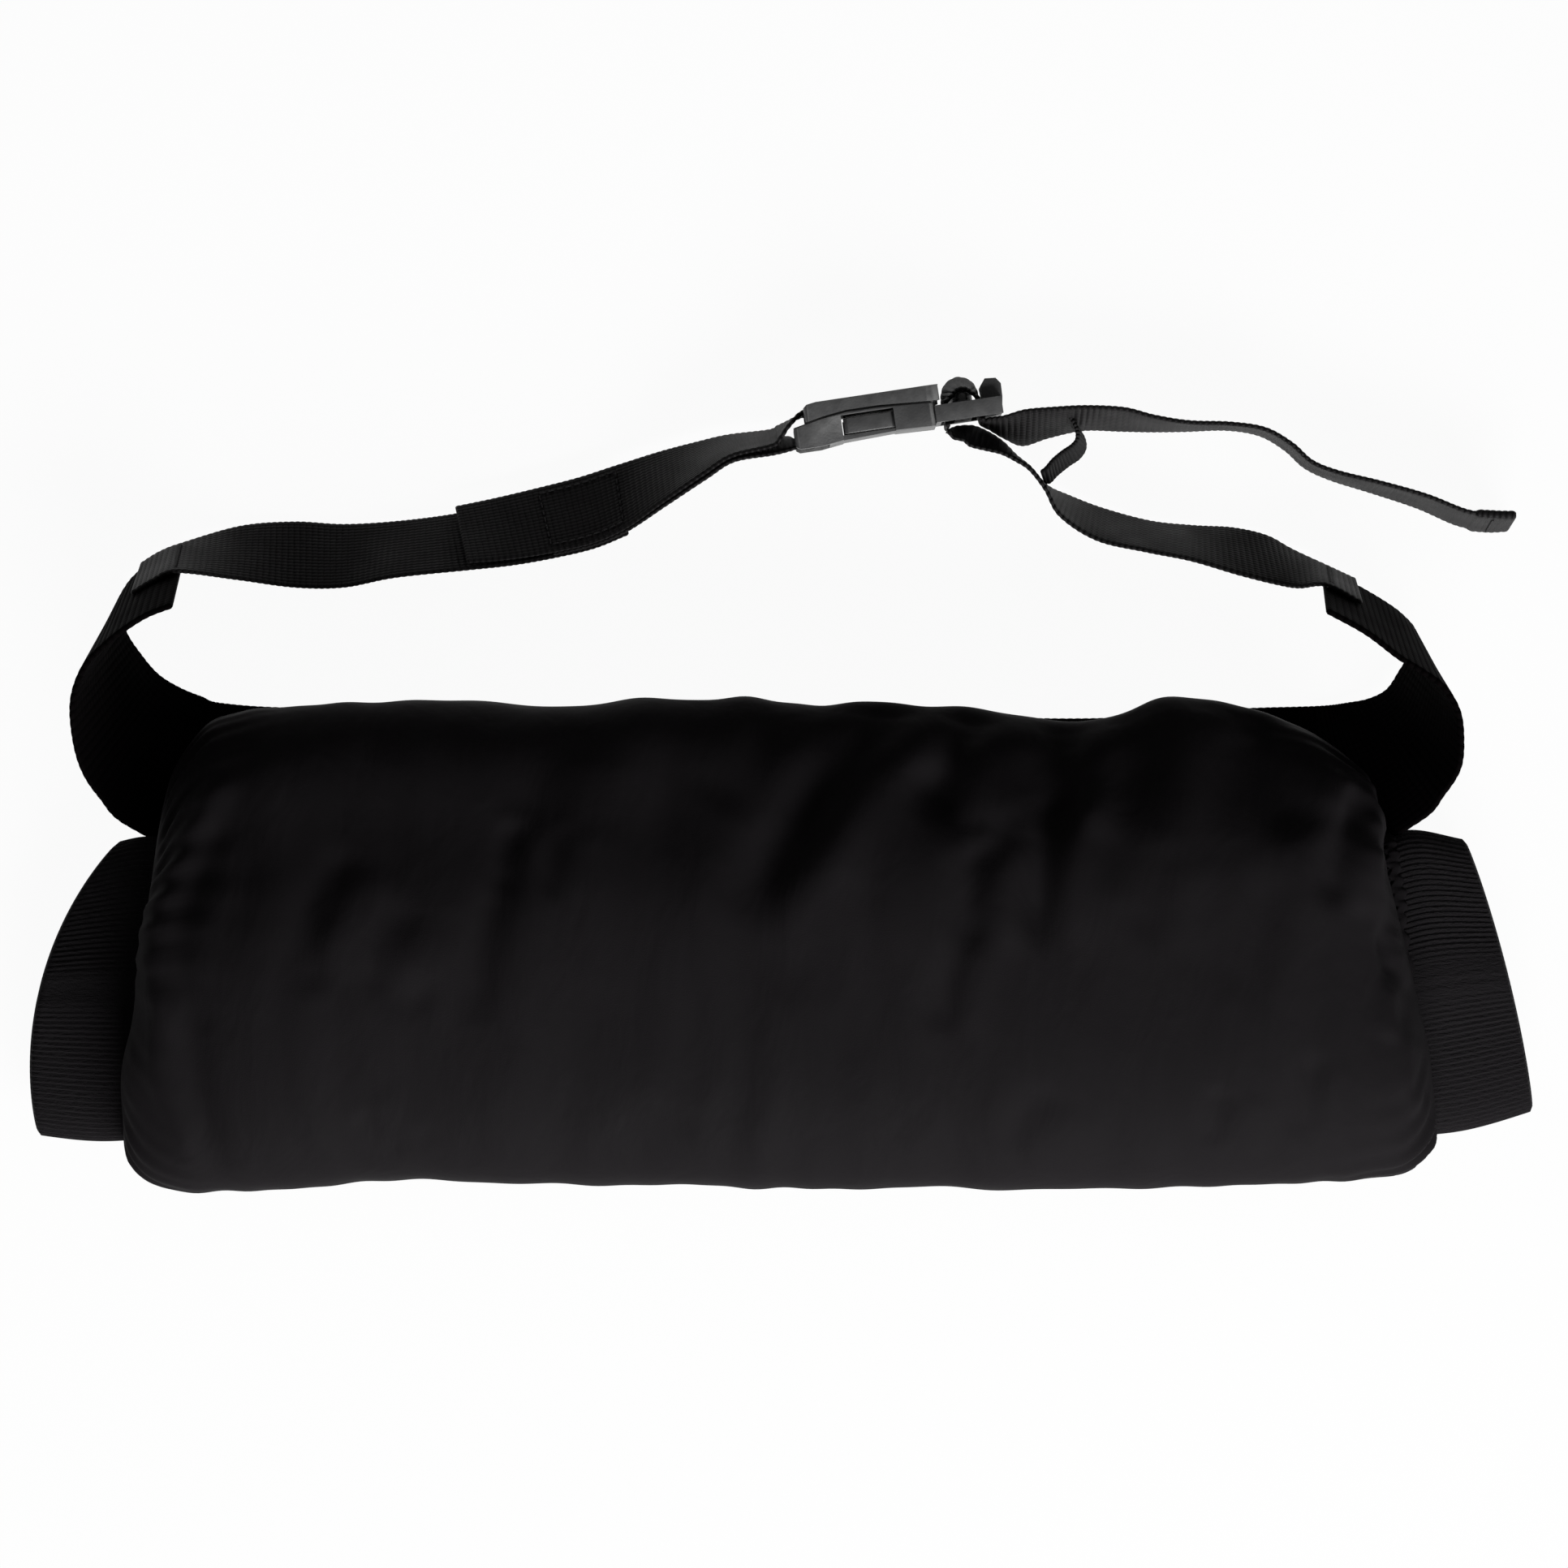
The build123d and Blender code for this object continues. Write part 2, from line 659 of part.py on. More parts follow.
latch_start = housing_length + buckle_gap
roll_core = [
    (50.3, -4.2),
    (55.6, -4.2),
    (55.6, 1.2),
    (57.0, 2.0),
    (57.0, 4.4),
    (55.8, 6.9),
    (53.2, 8.0),
    (50.6, 6.9),
    (49.3, 4.4),
    (49.3, 2.0),
    (50.3, 1.2),
]
end_bar = [
    (60.2, -4.3),
    (64.9, -4.3),
    (65.7, 1.0),
    (65.8, 5.0),
    (64.4, 6.9),
    (61.0, 7.2),
    (59.9, 5.2),
    (60.2, 1.0),
]
with BuildPart() as latch_frame:
    buckle_block((latch_start, 45.9), rail_across, (-body_half_width, body_half_width))
    for side in (-1, 1):
        rail = tuple(sorted(side * width for width in rail_half_widths))
        buckle_block((latch_start, rail_end), rail_across, rail)
    buckle_block(crossbar_along, crossbar_across, (-bar_half_width, bar_half_width))
    with BuildSketch(buckle_plan(-roll_core_half_width)):
        Polygon(*roll_core, align=None)
    extrude(amount=2 * roll_core_half_width)
    with BuildSketch(buckle_plan(-bar_half_width)):
        Polygon(*end_bar, align=None)
    extrude(amount=2 * bar_half_width)
    buckle_block((38.7, latch_start), web_across, (-web_half_width, web_half_width))
    tongue = (-tongue_half_width, tongue_half_width)
    buckle_block((tongue_start, latch_start), tongue_across, tongue)
    with BuildSketch(buckle_face(-4.5)):
        with Locations((knuckle_u, knuckle_w), (knuckle_u, -knuckle_w)):
            Circle(knuckle_radius + knuckle_clearance)
    extrude(amount=-7, mode=Mode.SUBTRACT)

prong_outline = [
    (knuckle_u, knuckle_w - 1.1),
    (knuckle_u, knuckle_w + 1.1),
    (36.3, knuckle_w + 1.1),
    (31.2, 13.0),
    (30.6, 14.0),
    (18.2, 14.0),
    (17.2, 13.0),
    (17.2, 9.8),
    (18.4, 9.2),
    (30.0, 9.6),
    (31.0, 10.5),
    (35.6, knuckle_w - 1.1),
]
with BuildPart() as latch_prong_upper:
    with BuildSketch(buckle_face(prong_face)):
        Polygon(*prong_outline, align=None)
        with Locations((knuckle_u, knuckle_w)):
            Circle(knuckle_radius)
    extrude(amount=prong_across)

with BuildPart() as latch_prong_lower:
    with BuildSketch(buckle_face(prong_face)):
        Polygon(*[(u, -w) for u, w in prong_outline[::-1]], align=None)
        with Locations((knuckle_u, -knuckle_w)):
            Circle(knuckle_radius)
    extrude(amount=prong_across)

write(buckle_housing.part, "buckle_housing")
write(latch_frame.part, "latch_frame")
write(latch_prong_upper.part, "latch_prong_upper")
write(latch_prong_lower.part, "latch_prong_lower")

# ---- stitching -----------------------------------------------------------------------------
front_face = -2 * layer_pitch - webbing_thickness / 2
stitched = [strap_plane(left_strap_course, index, webbing_width, 0, front_face)
            for index in range(stitch_start, overlap_end + 1)]
with BuildPart() as overlap_box_stitch:
    for plane in stitched:
        with BuildSketch(plane):
            Rectangle(box_stitch_width, stitch_height)
    loft(ruled=True)
    first, *middle, last = stitched
    for plane in [first.offset(stitch_size), *middle, last.offset(-stitch_size)]:
        with BuildSketch(plane):
            Rectangle(box_stitch_width - 2 * stitch_size, 3 * stitch_height)
    loft(ruled=True, mode=Mode.SUBTRACT)

sewn_inset = (webbing_width - band_width) / 2
with BuildPart() as left_band_tack:
    face = -(band_to_webbing + webbing_thickness / 2)
    end = len(left_band_course) - 1
    with BuildSketch(strap_plane(left_band_course, end, band_width, sewn_inset, face)):
        Rectangle(tack_width, stitch_height)
    extrude(amount=-tack_length)

with BuildPart() as right_band_tack:
    face = band_to_webbing + webbing_thickness / 2
    end = len(right_band_course) - 1
    with BuildSketch(strap_plane(right_band_course, end, band_width, sewn_inset, face)):
        Rectangle(tack_width, stitch_height)
    extrude(amount=-tack_length)

with BuildPart() as keeper_tack:
    with Locations(Location((82.0, 148.7, keeper_foot_z + keeper_width / 2), (0, 0, 40))):
        Box(3.4, 1.6, 9.0)

with BuildPart() as tail_tack:
    plane = strap_plane(tail_course, len(tail_course) - 2, webbing_width, 0, hem_thickness / 2)
    with BuildSketch(plane):
        Rectangle(tack_width, stitch_height)
    extrude(amount=tack_length / 2)

with BuildPart() as left_band_stitching:
    with BuildSketch():
        with Locations((-band_flat_half + 22, band_centre_y)):
            Rectangle(38, 42)
            Rectangle(38 - 2 * stitch_size, 42 - 2 * stitch_size, mode=Mode.SUBTRACT)
    extrude(amount=band_bottom)

with BuildPart() as right_band_stitching:
    with BuildSketch():
        with Locations((band_flat_half - 22, band_centre_y)):
            Rectangle(38, 42)
            Rectangle(38 - 2 * stitch_size, 42 - 2 * stitch_size, mode=Mode.SUBTRACT)
    extrude(amount=band_bottom)

write(overlap_box_stitch.part, "overlap_box_stitch")
write(left_band_tack.part, "left_band_tack")
write(right_band_tack.part, "right_band_tack")
write(keeper_tack.part, "keeper_tack")
write(tail_tack.part, "tail_tack")
write(left_band_stitching.part, "left_band_stitching")
write(right_band_stitching.part, "right_band_stitching")
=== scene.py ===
from math import cos, pi, radians, sin

import bmesh
import bpy
import numpy as np
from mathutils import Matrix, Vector


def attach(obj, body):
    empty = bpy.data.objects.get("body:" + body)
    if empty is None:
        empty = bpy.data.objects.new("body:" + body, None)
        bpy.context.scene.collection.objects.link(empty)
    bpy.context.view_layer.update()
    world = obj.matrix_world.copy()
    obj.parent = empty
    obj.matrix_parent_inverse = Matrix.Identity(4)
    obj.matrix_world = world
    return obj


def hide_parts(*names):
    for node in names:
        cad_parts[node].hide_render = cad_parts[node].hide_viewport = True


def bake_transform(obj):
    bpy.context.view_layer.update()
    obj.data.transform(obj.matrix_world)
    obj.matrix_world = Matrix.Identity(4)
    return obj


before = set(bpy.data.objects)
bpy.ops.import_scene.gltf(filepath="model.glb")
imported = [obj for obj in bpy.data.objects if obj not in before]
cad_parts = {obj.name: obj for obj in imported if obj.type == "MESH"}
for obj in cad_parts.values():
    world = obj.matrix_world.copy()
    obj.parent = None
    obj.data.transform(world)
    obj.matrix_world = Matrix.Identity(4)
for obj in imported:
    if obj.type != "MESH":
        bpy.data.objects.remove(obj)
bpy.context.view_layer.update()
mm = 0.001  # courses and sections below are in millimetres
floorGap = 0.2  # the cuffs and their hems stay this far off the floor
print("frame loaded")


# small helpers for curves and grids

def unit(vectors):
    # each row divided by its own length
    return vectors / np.maximum(np.linalg.norm(vectors, axis=-1, keepdims=True), 1e-12)


def smoothStep(x):
    # 0 below 0, 1 above 1, and 3x^2 - 2x^3 between them
    x = np.clip(x, 0, 1)
    return x * x * (3 - 2 * x)


def throughPoints(points, at):
    # Catmull-Rom curve: each stretch is the cubic through four neighbouring points
    points = np.asarray(points, float)
    padded = np.vstack([2 * points[0] - points[1], points, 2 * points[-1] - points[-2]])
    stretch = np.clip(np.floor(at).astype(int), 0, len(points) - 2)
    t = (at - stretch)[:, None]
    p0, p1, p2, p3 = (padded[stretch + k] for k in range(4))
    return 0.5 * (2 * p1 + (p2 - p0) * t + (2 * p0 - 5 * p1 + 4 * p2 - p3) * t ** 2
                  + (3 * p1 - p0 - 3 * p2 + p3) * t ** 3)


def evenAlong(rows, step):
    # the same curve, sampled at even steps of the length that its first three columns run
    fine = throughPoints(rows, np.linspace(0, len(rows) - 1, 40 * len(rows)))
    run = np.r_[0, np.cumsum(np.linalg.norm(np.diff(fine[:, :3], axis=0), axis=1))]
    at = np.linspace(0, run[-1], max(int(run[-1] / step), 4))
    return np.column_stack([np.interp(at, run, column) for column in fine.T])


def gridFaces(rows, columns, closedRows=False):
    # quads between neighbours of a grid whose columns go round, and whose rows may too
    r, c = np.meshgrid(np.arange(rows if closedRows else rows - 1), np.arange(columns), indexing="ij")
    below, beside = (r + 1) % rows, (c + 1) % columns
    quads = [r * columns + c, r * columns + beside, below * columns + beside, below * columns + c]
    return np.stack(quads, -1).reshape(-1, 4)


def linked(name, data):
    # an object for the data, in the scene
    thing = bpy.data.objects.new(name, data)
    bpy.context.scene.collection.objects.link(thing)
    return thing
def meshFrom(name, verts, faces, uv=None, smooth=True):
    # an object at the origin with the given points in metres, and a surface map where there is one
    mesh = bpy.data.meshes.new(name)
    mesh.from_pydata(np.asarray(verts).tolist(), [], faces)
    if uv is not None:
        corner = np.empty(len(mesh.loops), int)
        mesh.loops.foreach_get("vertex_index", corner)
        mesh.uv_layers.new(name="surface").data.foreach_set("uv", np.asarray(uv, float)[corner].ravel())
    mesh.polygons.foreach_set("use_smooth", [smooth] * len(mesh.polygons))
    return linked(name, mesh)


def enclosed(verts, faces):
    # six times the volume inside the faces: below 0 where they point inwards
    a, b, c, d = (verts[faces[:, k]] for k in range(4))
    return np.einsum("ij,ij->", a, np.cross(b, c)) + np.einsum("ij,ij->", a, np.cross(c, d))


def gridMesh(name, grid, uv=None, closedRows=False):
    # a skin over a (rows, columns) grid of points in millimetres, closed by its wrap or by end caps
    rows, columns = grid.shape[:2]
    verts = grid.reshape(-1, 3) * mm
    quads = gridFaces(rows, columns, closedRows)
    caps = [list(range(columns))[::-1], list(range((rows - 1) * columns, rows * columns))]
    if enclosed(verts - verts.mean(0), quads) < 0:
        quads = quads[:, ::-1]
        caps = [cap[::-1] for cap in caps]
    faces = quads.tolist() + ([] if closedRows else caps)
    return meshFrom(name, verts, faces, None if uv is None else uv.reshape(-1, 2) * mm)


def meshPoints(piece, kind="co"):
    # all the mesh's points, or their normals, as rows
    values = np.empty(3 * len(piece.data.vertices))
    piece.data.vertices.foreach_get(kind, values)
    return values.reshape(-1, 3)


def movePoints(piece, points):
    # the mesh's points set to the given rows
    piece.data.vertices.foreach_set("co", np.asarray(points, float).ravel())
    piece.data.update()

def modifiersApplied(piece):
    # the mesh as its modifiers leave it takes the place of the old one
    made = bpy.data.meshes.new_from_object(piece.evaluated_get(bpy.context.evaluated_depsgraph_get()))
    made.name = piece.name
    piece.modifiers.clear()
    piece.data = made


# shader helpers

def newMaterial(name):
    # a material with only an output and a Principled shader
    material = bpy.data.materials.new(name)
    material.use_nodes = True
    tree = material.node_tree
    tree.nodes.clear()
    output = tree.nodes.new("ShaderNodeOutputMaterial")
    shader = tree.nodes.new("ShaderNodeBsdfPrincipled")
    tree.links.new(shader.outputs[0], output.inputs[0])
    return material, tree, shader


def setInputs(tree, node, inputs):
    # a socket is linked, and anything else is the input's own value
    for key, value in inputs.items():
        if isinstance(value, bpy.types.NodeSocket):
            tree.links.new(value, node.inputs[key])
        else:
            node.inputs[key].default_value = value


def addNode(tree, kind, inputs=None, **settings):
    # a node of the kind, with its own settings and then its inputs
    node = tree.nodes.new("ShaderNode" + kind)
    for key, value in settings.items():
        setattr(node, key, value)
    setInputs(tree, node, inputs or {})
    return node


def addMath(tree, operation, a, b=0.0, c=0.0):
    # one sum on up to three values or sockets
    return addNode(tree, "Math", {0: a, 1: b, 2: c}, operation=operation).outputs[0]


def addMix(tree, factor, first, second):
    # the first colour at factor 0 and the second at 1
    inputs = {"Factor": factor, "A": first, "B": second}
    return addNode(tree, "Mix", inputs, data_type="RGBA").outputs["Result"]


def addGroup(tree, group, inputs):
    # a shared group placed in the material, with the material's own values
    node = tree.nodes.new("ShaderNodeGroup")
    node.node_tree = group
    setInputs(tree, node, inputs)
    return node.outputs


def newGroup(name, inputs, outputs):
    # a shader group with its named sockets, and the sockets that its nodes start from and end at
    group = bpy.data.node_groups.new(name, "ShaderNodeTree")
    for title, kind, value in inputs:
        socket = group.interface.new_socket(title, in_out="INPUT", socket_type="NodeSocket" + kind)
        if value is not None:
            socket.default_value = value
    for title, kind in outputs:
        group.interface.new_socket(title, in_out="OUTPUT", socket_type="NodeSocket" + kind)
    return group, group.nodes.new("NodeGroupInput").outputs, group.nodes.new("NodeGroupOutput").inputs

def makeClothTone():
    # the colour times 1 plus soft clouds, then pale specks of lint where fine noise is highest
    group, given, out = newGroup("clothTone", [
        ("Vector", "Vector", None), ("Colour", "Color", (0.01, 0.01, 0.01, 1)), ("Clouds", "Float", 40.0),
        ("Amount", "Float", 0.25), ("Specks", "Float", 900.0), ("Lint", "Float", 0.05)],
        [("Colour", "Color"), ("Mask", "Float")])
    clouds = addNode(group, "TexNoise", {"Vector": given["Vector"], "Scale": given["Clouds"], "Detail": 4.0})
    centred = addMath(group, "SUBTRACT", clouds.outputs["Fac"], 0.5)
    swing = addMath(group, "MULTIPLY_ADD", centred, given["Amount"], 1.0)
    scaled = addNode(group, "VectorMath", {0: given["Colour"], "Scale": swing}, operation="SCALE")
    specks = addNode(group, "TexNoise", {"Vector": given["Vector"], "Scale": given["Specks"], "Detail": 1.0})
    fibre = addMath(group, "GREATER_THAN", specks.outputs["Fac"], 0.72)
    lint = addMath(group, "MULTIPLY", fibre, given["Lint"])
    group.links.new(addMix(group, lint, scaled.outputs[0], (0.12, 0.12, 0.12, 1)), out["Colour"])
    group.links.new(clouds.outputs["Fac"], out["Mask"])
    return group


def makeWovenRibs():
    # height is |sin| of the run along over the rib pitch, plus a share of |sin| across over the thread pitch
    group, given, out = newGroup("wovenRibs", [
        ("Along", "Float", 0.0), ("Across", "Float", 0.0), ("Rib pitch", "Float", 0.0019),
        ("Thread pitch", "Float", 0.0009), ("Thread share", "Float", 0.35)],
        [("Height", "Float"), ("Valley", "Float")])

    def waves(run, pitch):
        # |sin(pi * run / pitch)|
        turns = addMath(group, "MULTIPLY", addMath(group, "DIVIDE", run, pitch), pi)
        return addMath(group, "ABSOLUTE", addMath(group, "SINE", turns))

    ribs = waves(given["Along"], given["Rib pitch"])
    threads = waves(given["Across"], given["Thread pitch"])
    group.links.new(addMath(group, "MULTIPLY_ADD", threads, given["Thread share"], ribs), out["Height"])
    group.links.new(addMath(group, "SUBTRACT", 1.0, ribs), out["Valley"])
    return group


def makeRidgeHighlight():
    # 1 on ridges and 0 on flats, broken up by noise: the mask of the painted highlight on the buckle's edges
    group, given, out = newGroup("ridgeHighlight", [
        ("Vector", "Vector", None), ("Sharpness", "Float", 12.0), ("Breaks", "Float", 300.0)],
        [("Highlight", "Float")])
    ridge = addNode(group, "NewGeometry").outputs["Pointiness"]
    raised = addMath(group, "MULTIPLY", addMath(group, "SUBTRACT", ridge, 0.51), given["Sharpness"])
    breaks = addNode(group, "TexNoise", {"Vector": given["Vector"], "Scale": given["Breaks"], "Detail": 3.0})
    worn = addMath(group, "MULTIPLY", raised, breaks.outputs["Fac"])
    group.links.new(addNode(group, "Clamp", {"Value": worn}).outputs[0], out["Highlight"])
    return group


clothTone = makeClothTone()
wovenRibs = makeWovenRibs()
ridgeHighlight = makeRidgeHighlight()


def mottled(tree, vector, look, specks):
    # the look's colour with its clouds and lint, and the mask of its clouds
    return addGroup(tree, clothTone, {
        "Vector": vector, "Colour": look["colour"], "Clouds": look["clouds"], "Amount": look["variation"],
        "Specks": specks, "Lint": look["lint"]})


def unevenRoughness(tree, mask, level, smoother, rougher, low=0.3, high=0.7):
    # from level less smoother to level plus rougher, as the mask goes from low to high
    return addNode(tree, "MapRange", {"Value": mask, "From Min": low, "From Max": high,
                                      "To Min": level - smoother, "To Max": level + rougher}).outputs[0]


def finishSurface(tree, shader, look, colour, roughness, height):
    # colour, roughness and relief, then what is the same all over the surface
    bump = addNode(tree, "Bump", {"Height": height, "Distance": look["relief"], "Strength": 1.0})
    tree.links.new(colour, shader.inputs["Base Color"])
    tree.links.new(roughness, shader.inputs["Roughness"])
    tree.links.new(bump.outputs[0], shader.inputs["Normal"])
    sockets = {"gloss": "Specular IOR Level", "sheen": "Sheen Weight", "fuzz": "Sheen Roughness"}
    for key, socket in sockets.items():
        if key in look:
            shader.inputs[socket].default_value = look[key]


def ribbedCloth(name, look):
    # webbing, elastic and thread: ribs and threads on the piece's own surface map, with painted shade in the
    # rib valleys
    material, tree, shader = newMaterial(name)
    surface = addNode(tree, "TexCoord").outputs["UV"]
    run = addNode(tree, "SeparateXYZ", {0: surface}).outputs
    ribs = addGroup(tree, wovenRibs, {
        "Along": run["X"], "Across": run["Y"], "Rib pitch": look["ribPitch"] * mm,
        "Thread pitch": look["threadPitch"], "Thread share": look["threadShare"]})
    tone = mottled(tree, surface, look, specks=2500.0)
    # the rib valleys darkened towards black: painted shade in the grooves
    sunk = addMath(tree, "MULTIPLY", ribs["Valley"], look["valleyShade"])
    colour = addMix(tree, sunk, tone["Colour"], (0.001, 0.001, 0.001, 1))
    rough = unevenRoughness(tree, tone["Mask"], look["roughness"], 0.06, 0.06)
    finishSurface(tree, shader, look, colour, rough, ribs["Height"])
    return material


def softCloth(name, look):
    # nylon, knit, fleece and padding: crinkle and thread grain in the object's own space
    material, tree, shader = newMaterial(name)
    place = addNode(tree, "TexCoord").outputs["Object"]
    tone = mottled(tree, place, look, specks=1800.0)
    stretched = addNode(tree, "Mapping", {"Vector": place, "Scale": look["stretch"]}).outputs[0]
    crinkle = addNode(tree, "TexNoise", {"Vector": stretched, "Scale": look["crinkleScale"], "Detail": 3.0,
                                         "Roughness": 0.45, "Distortion": 0.4})
    grain = addNode(tree, "TexNoise", {"Vector": place, "Scale": look["grainScale"], "Detail": 1.0})
    height = addMath(tree, "MULTIPLY_ADD", grain.outputs["Fac"], look["grain"], crinkle.outputs["Fac"])
    rough = unevenRoughness(tree, tone["Mask"], look["roughness"], 0.05, 0.06)
    finishSurface(tree, shader, look, tone["Colour"], rough, height)
    return material


def mouldedPlastic(name, look):
    # grained plastic, paler on its edges as a painted highlight, and rougher there
    material, tree, shader = newMaterial(name)
    place = addNode(tree, "TexCoord").outputs["Object"]
    tone = mottled(tree, place, look, specks=2200.0)
    ridgeGlint = addGroup(tree, ridgeHighlight, {"Vector": place, "Sharpness": look["ridgeGlint"]})["Highlight"]
    grain = addNode(tree, "TexNoise", {"Vector": place, "Scale": look["grainScale"], "Detail": 3.0})
    # the edges mixed towards a pale grey: a painted highlight where the edges catch the light
    colour = addMix(tree, ridgeGlint, tone["Colour"], look["glintColour"])
    rough = unevenRoughness(tree, tone["Mask"], look["roughness"], 0.08, 0.1, low=0.0, high=1.0)
    rough = addMath(tree, "MULTIPLY_ADD", ridgeGlint, 0.15, rough)
    finishSurface(tree, shader, look, colour, rough, grain.outputs["Fac"])
    return material


coverLook = {"colour": (0.0092, 0.0082, 0.0091, 1), "clouds": 11.0, "variation": 0.4, "lint": 0.012,
             "stretch": (1.0, 0.45, 1.0), "crinkleScale": 60.0, "grain": 0.04, "grainScale": 2600.0,
             "relief": 0.0012, "roughness": 0.66, "gloss": 0.03, "sheen": 0.0, "fuzz": 0.4}
cuffLook = {"colour": (0.0075, 0.0065, 0.0075, 1), "clouds": 30.0, "variation": 0.5, "lint": 0.03,
            "stretch": (0.25, 1.0, 1.0), "crinkleScale": 1200.0, "grain": 0.5, "grainScale": 2400.0,
            "relief": 0.0004, "roughness": 0.85, "gloss": 0.1, "sheen": 0.03, "fuzz": 0.5}
fleeceLook = {"colour": (0.008, 0.008, 0.008, 1), "clouds": 60.0, "variation": 0.5, "lint": 0.05,
              "stretch": (1.0, 1.0, 1.0), "crinkleScale": 700.0, "grain": 0.6, "grainScale": 2600.0,
              "relief": 0.0012, "roughness": 0.95, "gloss": 0.05, "sheen": 0.06, "fuzz": 0.5}
paddingLook = {"colour": (0.7, 0.7, 0.68, 1), "clouds": 80.0, "variation": 0.25, "lint": 0.0,
               "stretch": (1.0, 1.0, 1.0), "crinkleScale": 300.0, "grain": 0.6, "grainScale": 2600.0,
               "relief": 0.002, "roughness": 0.95, "gloss": 0.1, "sheen": 0.1, "fuzz": 0.5}
bandLook = {"colour": (0.0014, 0.0009, 0.0011, 1), "ribPitch": 2.4, "ribHeight": 0.12,
            "threadPitch": 0.0021, "threadShare": 0.2, "clouds": 60.0, "variation": 0.3, "lint": 0.01,
            "valleyShade": 0.5, "relief": 0.0004, "roughness": 0.8, "gloss": 0.02, "sheen": 0.0, "fuzz": 0.5}
webbingLook = {"colour": (0.0085, 0.0078, 0.0083, 1), "ribPitch": 1.9, "ribHeight": 0.16,
               "threadPitch": 0.0012, "threadShare": 0.35, "clouds": 80.0, "variation": 0.35, "lint": 0.02,
               "valleyShade": 0.6, "relief": 0.0004, "roughness": 0.6, "gloss": 0.15, "sheen": 0.02,
               "fuzz": 0.4}
plasticLook = {"colour": (0.045, 0.045, 0.046, 1), "clouds": 90.0, "variation": 0.3, "lint": 0.02,
               "glintColour": (0.16, 0.16, 0.16, 1), "ridgeGlint": 9.0, "grainScale": 1500.0, "relief": 0.00008,
               "roughness": 0.38, "gloss": 0.5}
keeperLook = {"colour": (0.007, 0.0065, 0.007, 1), "ribPitch": 1.2, "ribHeight": 0.1, "threadPitch": 0.0009,
              "threadShare": 0.3, "clouds": 90.0, "variation": 0.3, "lint": 0.02, "valleyShade": 0.5,
              "relief": 0.0003, "roughness": 0.7, "gloss": 0.2, "sheen": 0.02, "fuzz": 0.4}
threadLook = {"colour": (0.02, 0.019, 0.02, 1), "ribPitch": 0.8, "threadPitch": 0.0008, "threadShare": 0.3,
              "clouds": 200.0, "variation": 0.2, "lint": 0.0, "valleyShade": 0.4, "relief": 0.0002,
              "roughness": 0.6, "gloss": 0.25}

coverNylon = softCloth("coverNylon", coverLook)
cuffKnit = softCloth("cuffKnit", cuffLook)
tunnelFleece = softCloth("tunnelFleece", fleeceLook)
paddingFibre = softCloth("paddingFibre", paddingLook)
bandElastic = ribbedCloth("bandElastic", bandLook)
strapWebbing = ribbedCloth("strapWebbing", webbingLook)
keeperElastic = ribbedCloth("keeperElastic", keeperLook)
bucklePlastic = mouldedPlastic("bucklePlastic", plasticLook)
sewingThread = ribbedCloth("sewingThread", threadLook)


def dress(piece, material, slot, body, *replaced):
    # the piece's material, its body where it rides on one, and the nodes that it stands for, hidden; its slot
    # is not used
    piece.data.materials.clear()
    piece.data.materials.append(material)
    if body:
        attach(piece, body)
    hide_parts(*replaced)
    return piece


# the padded muff: a hollow tube of cloth that swells, creases and gathers at its ends

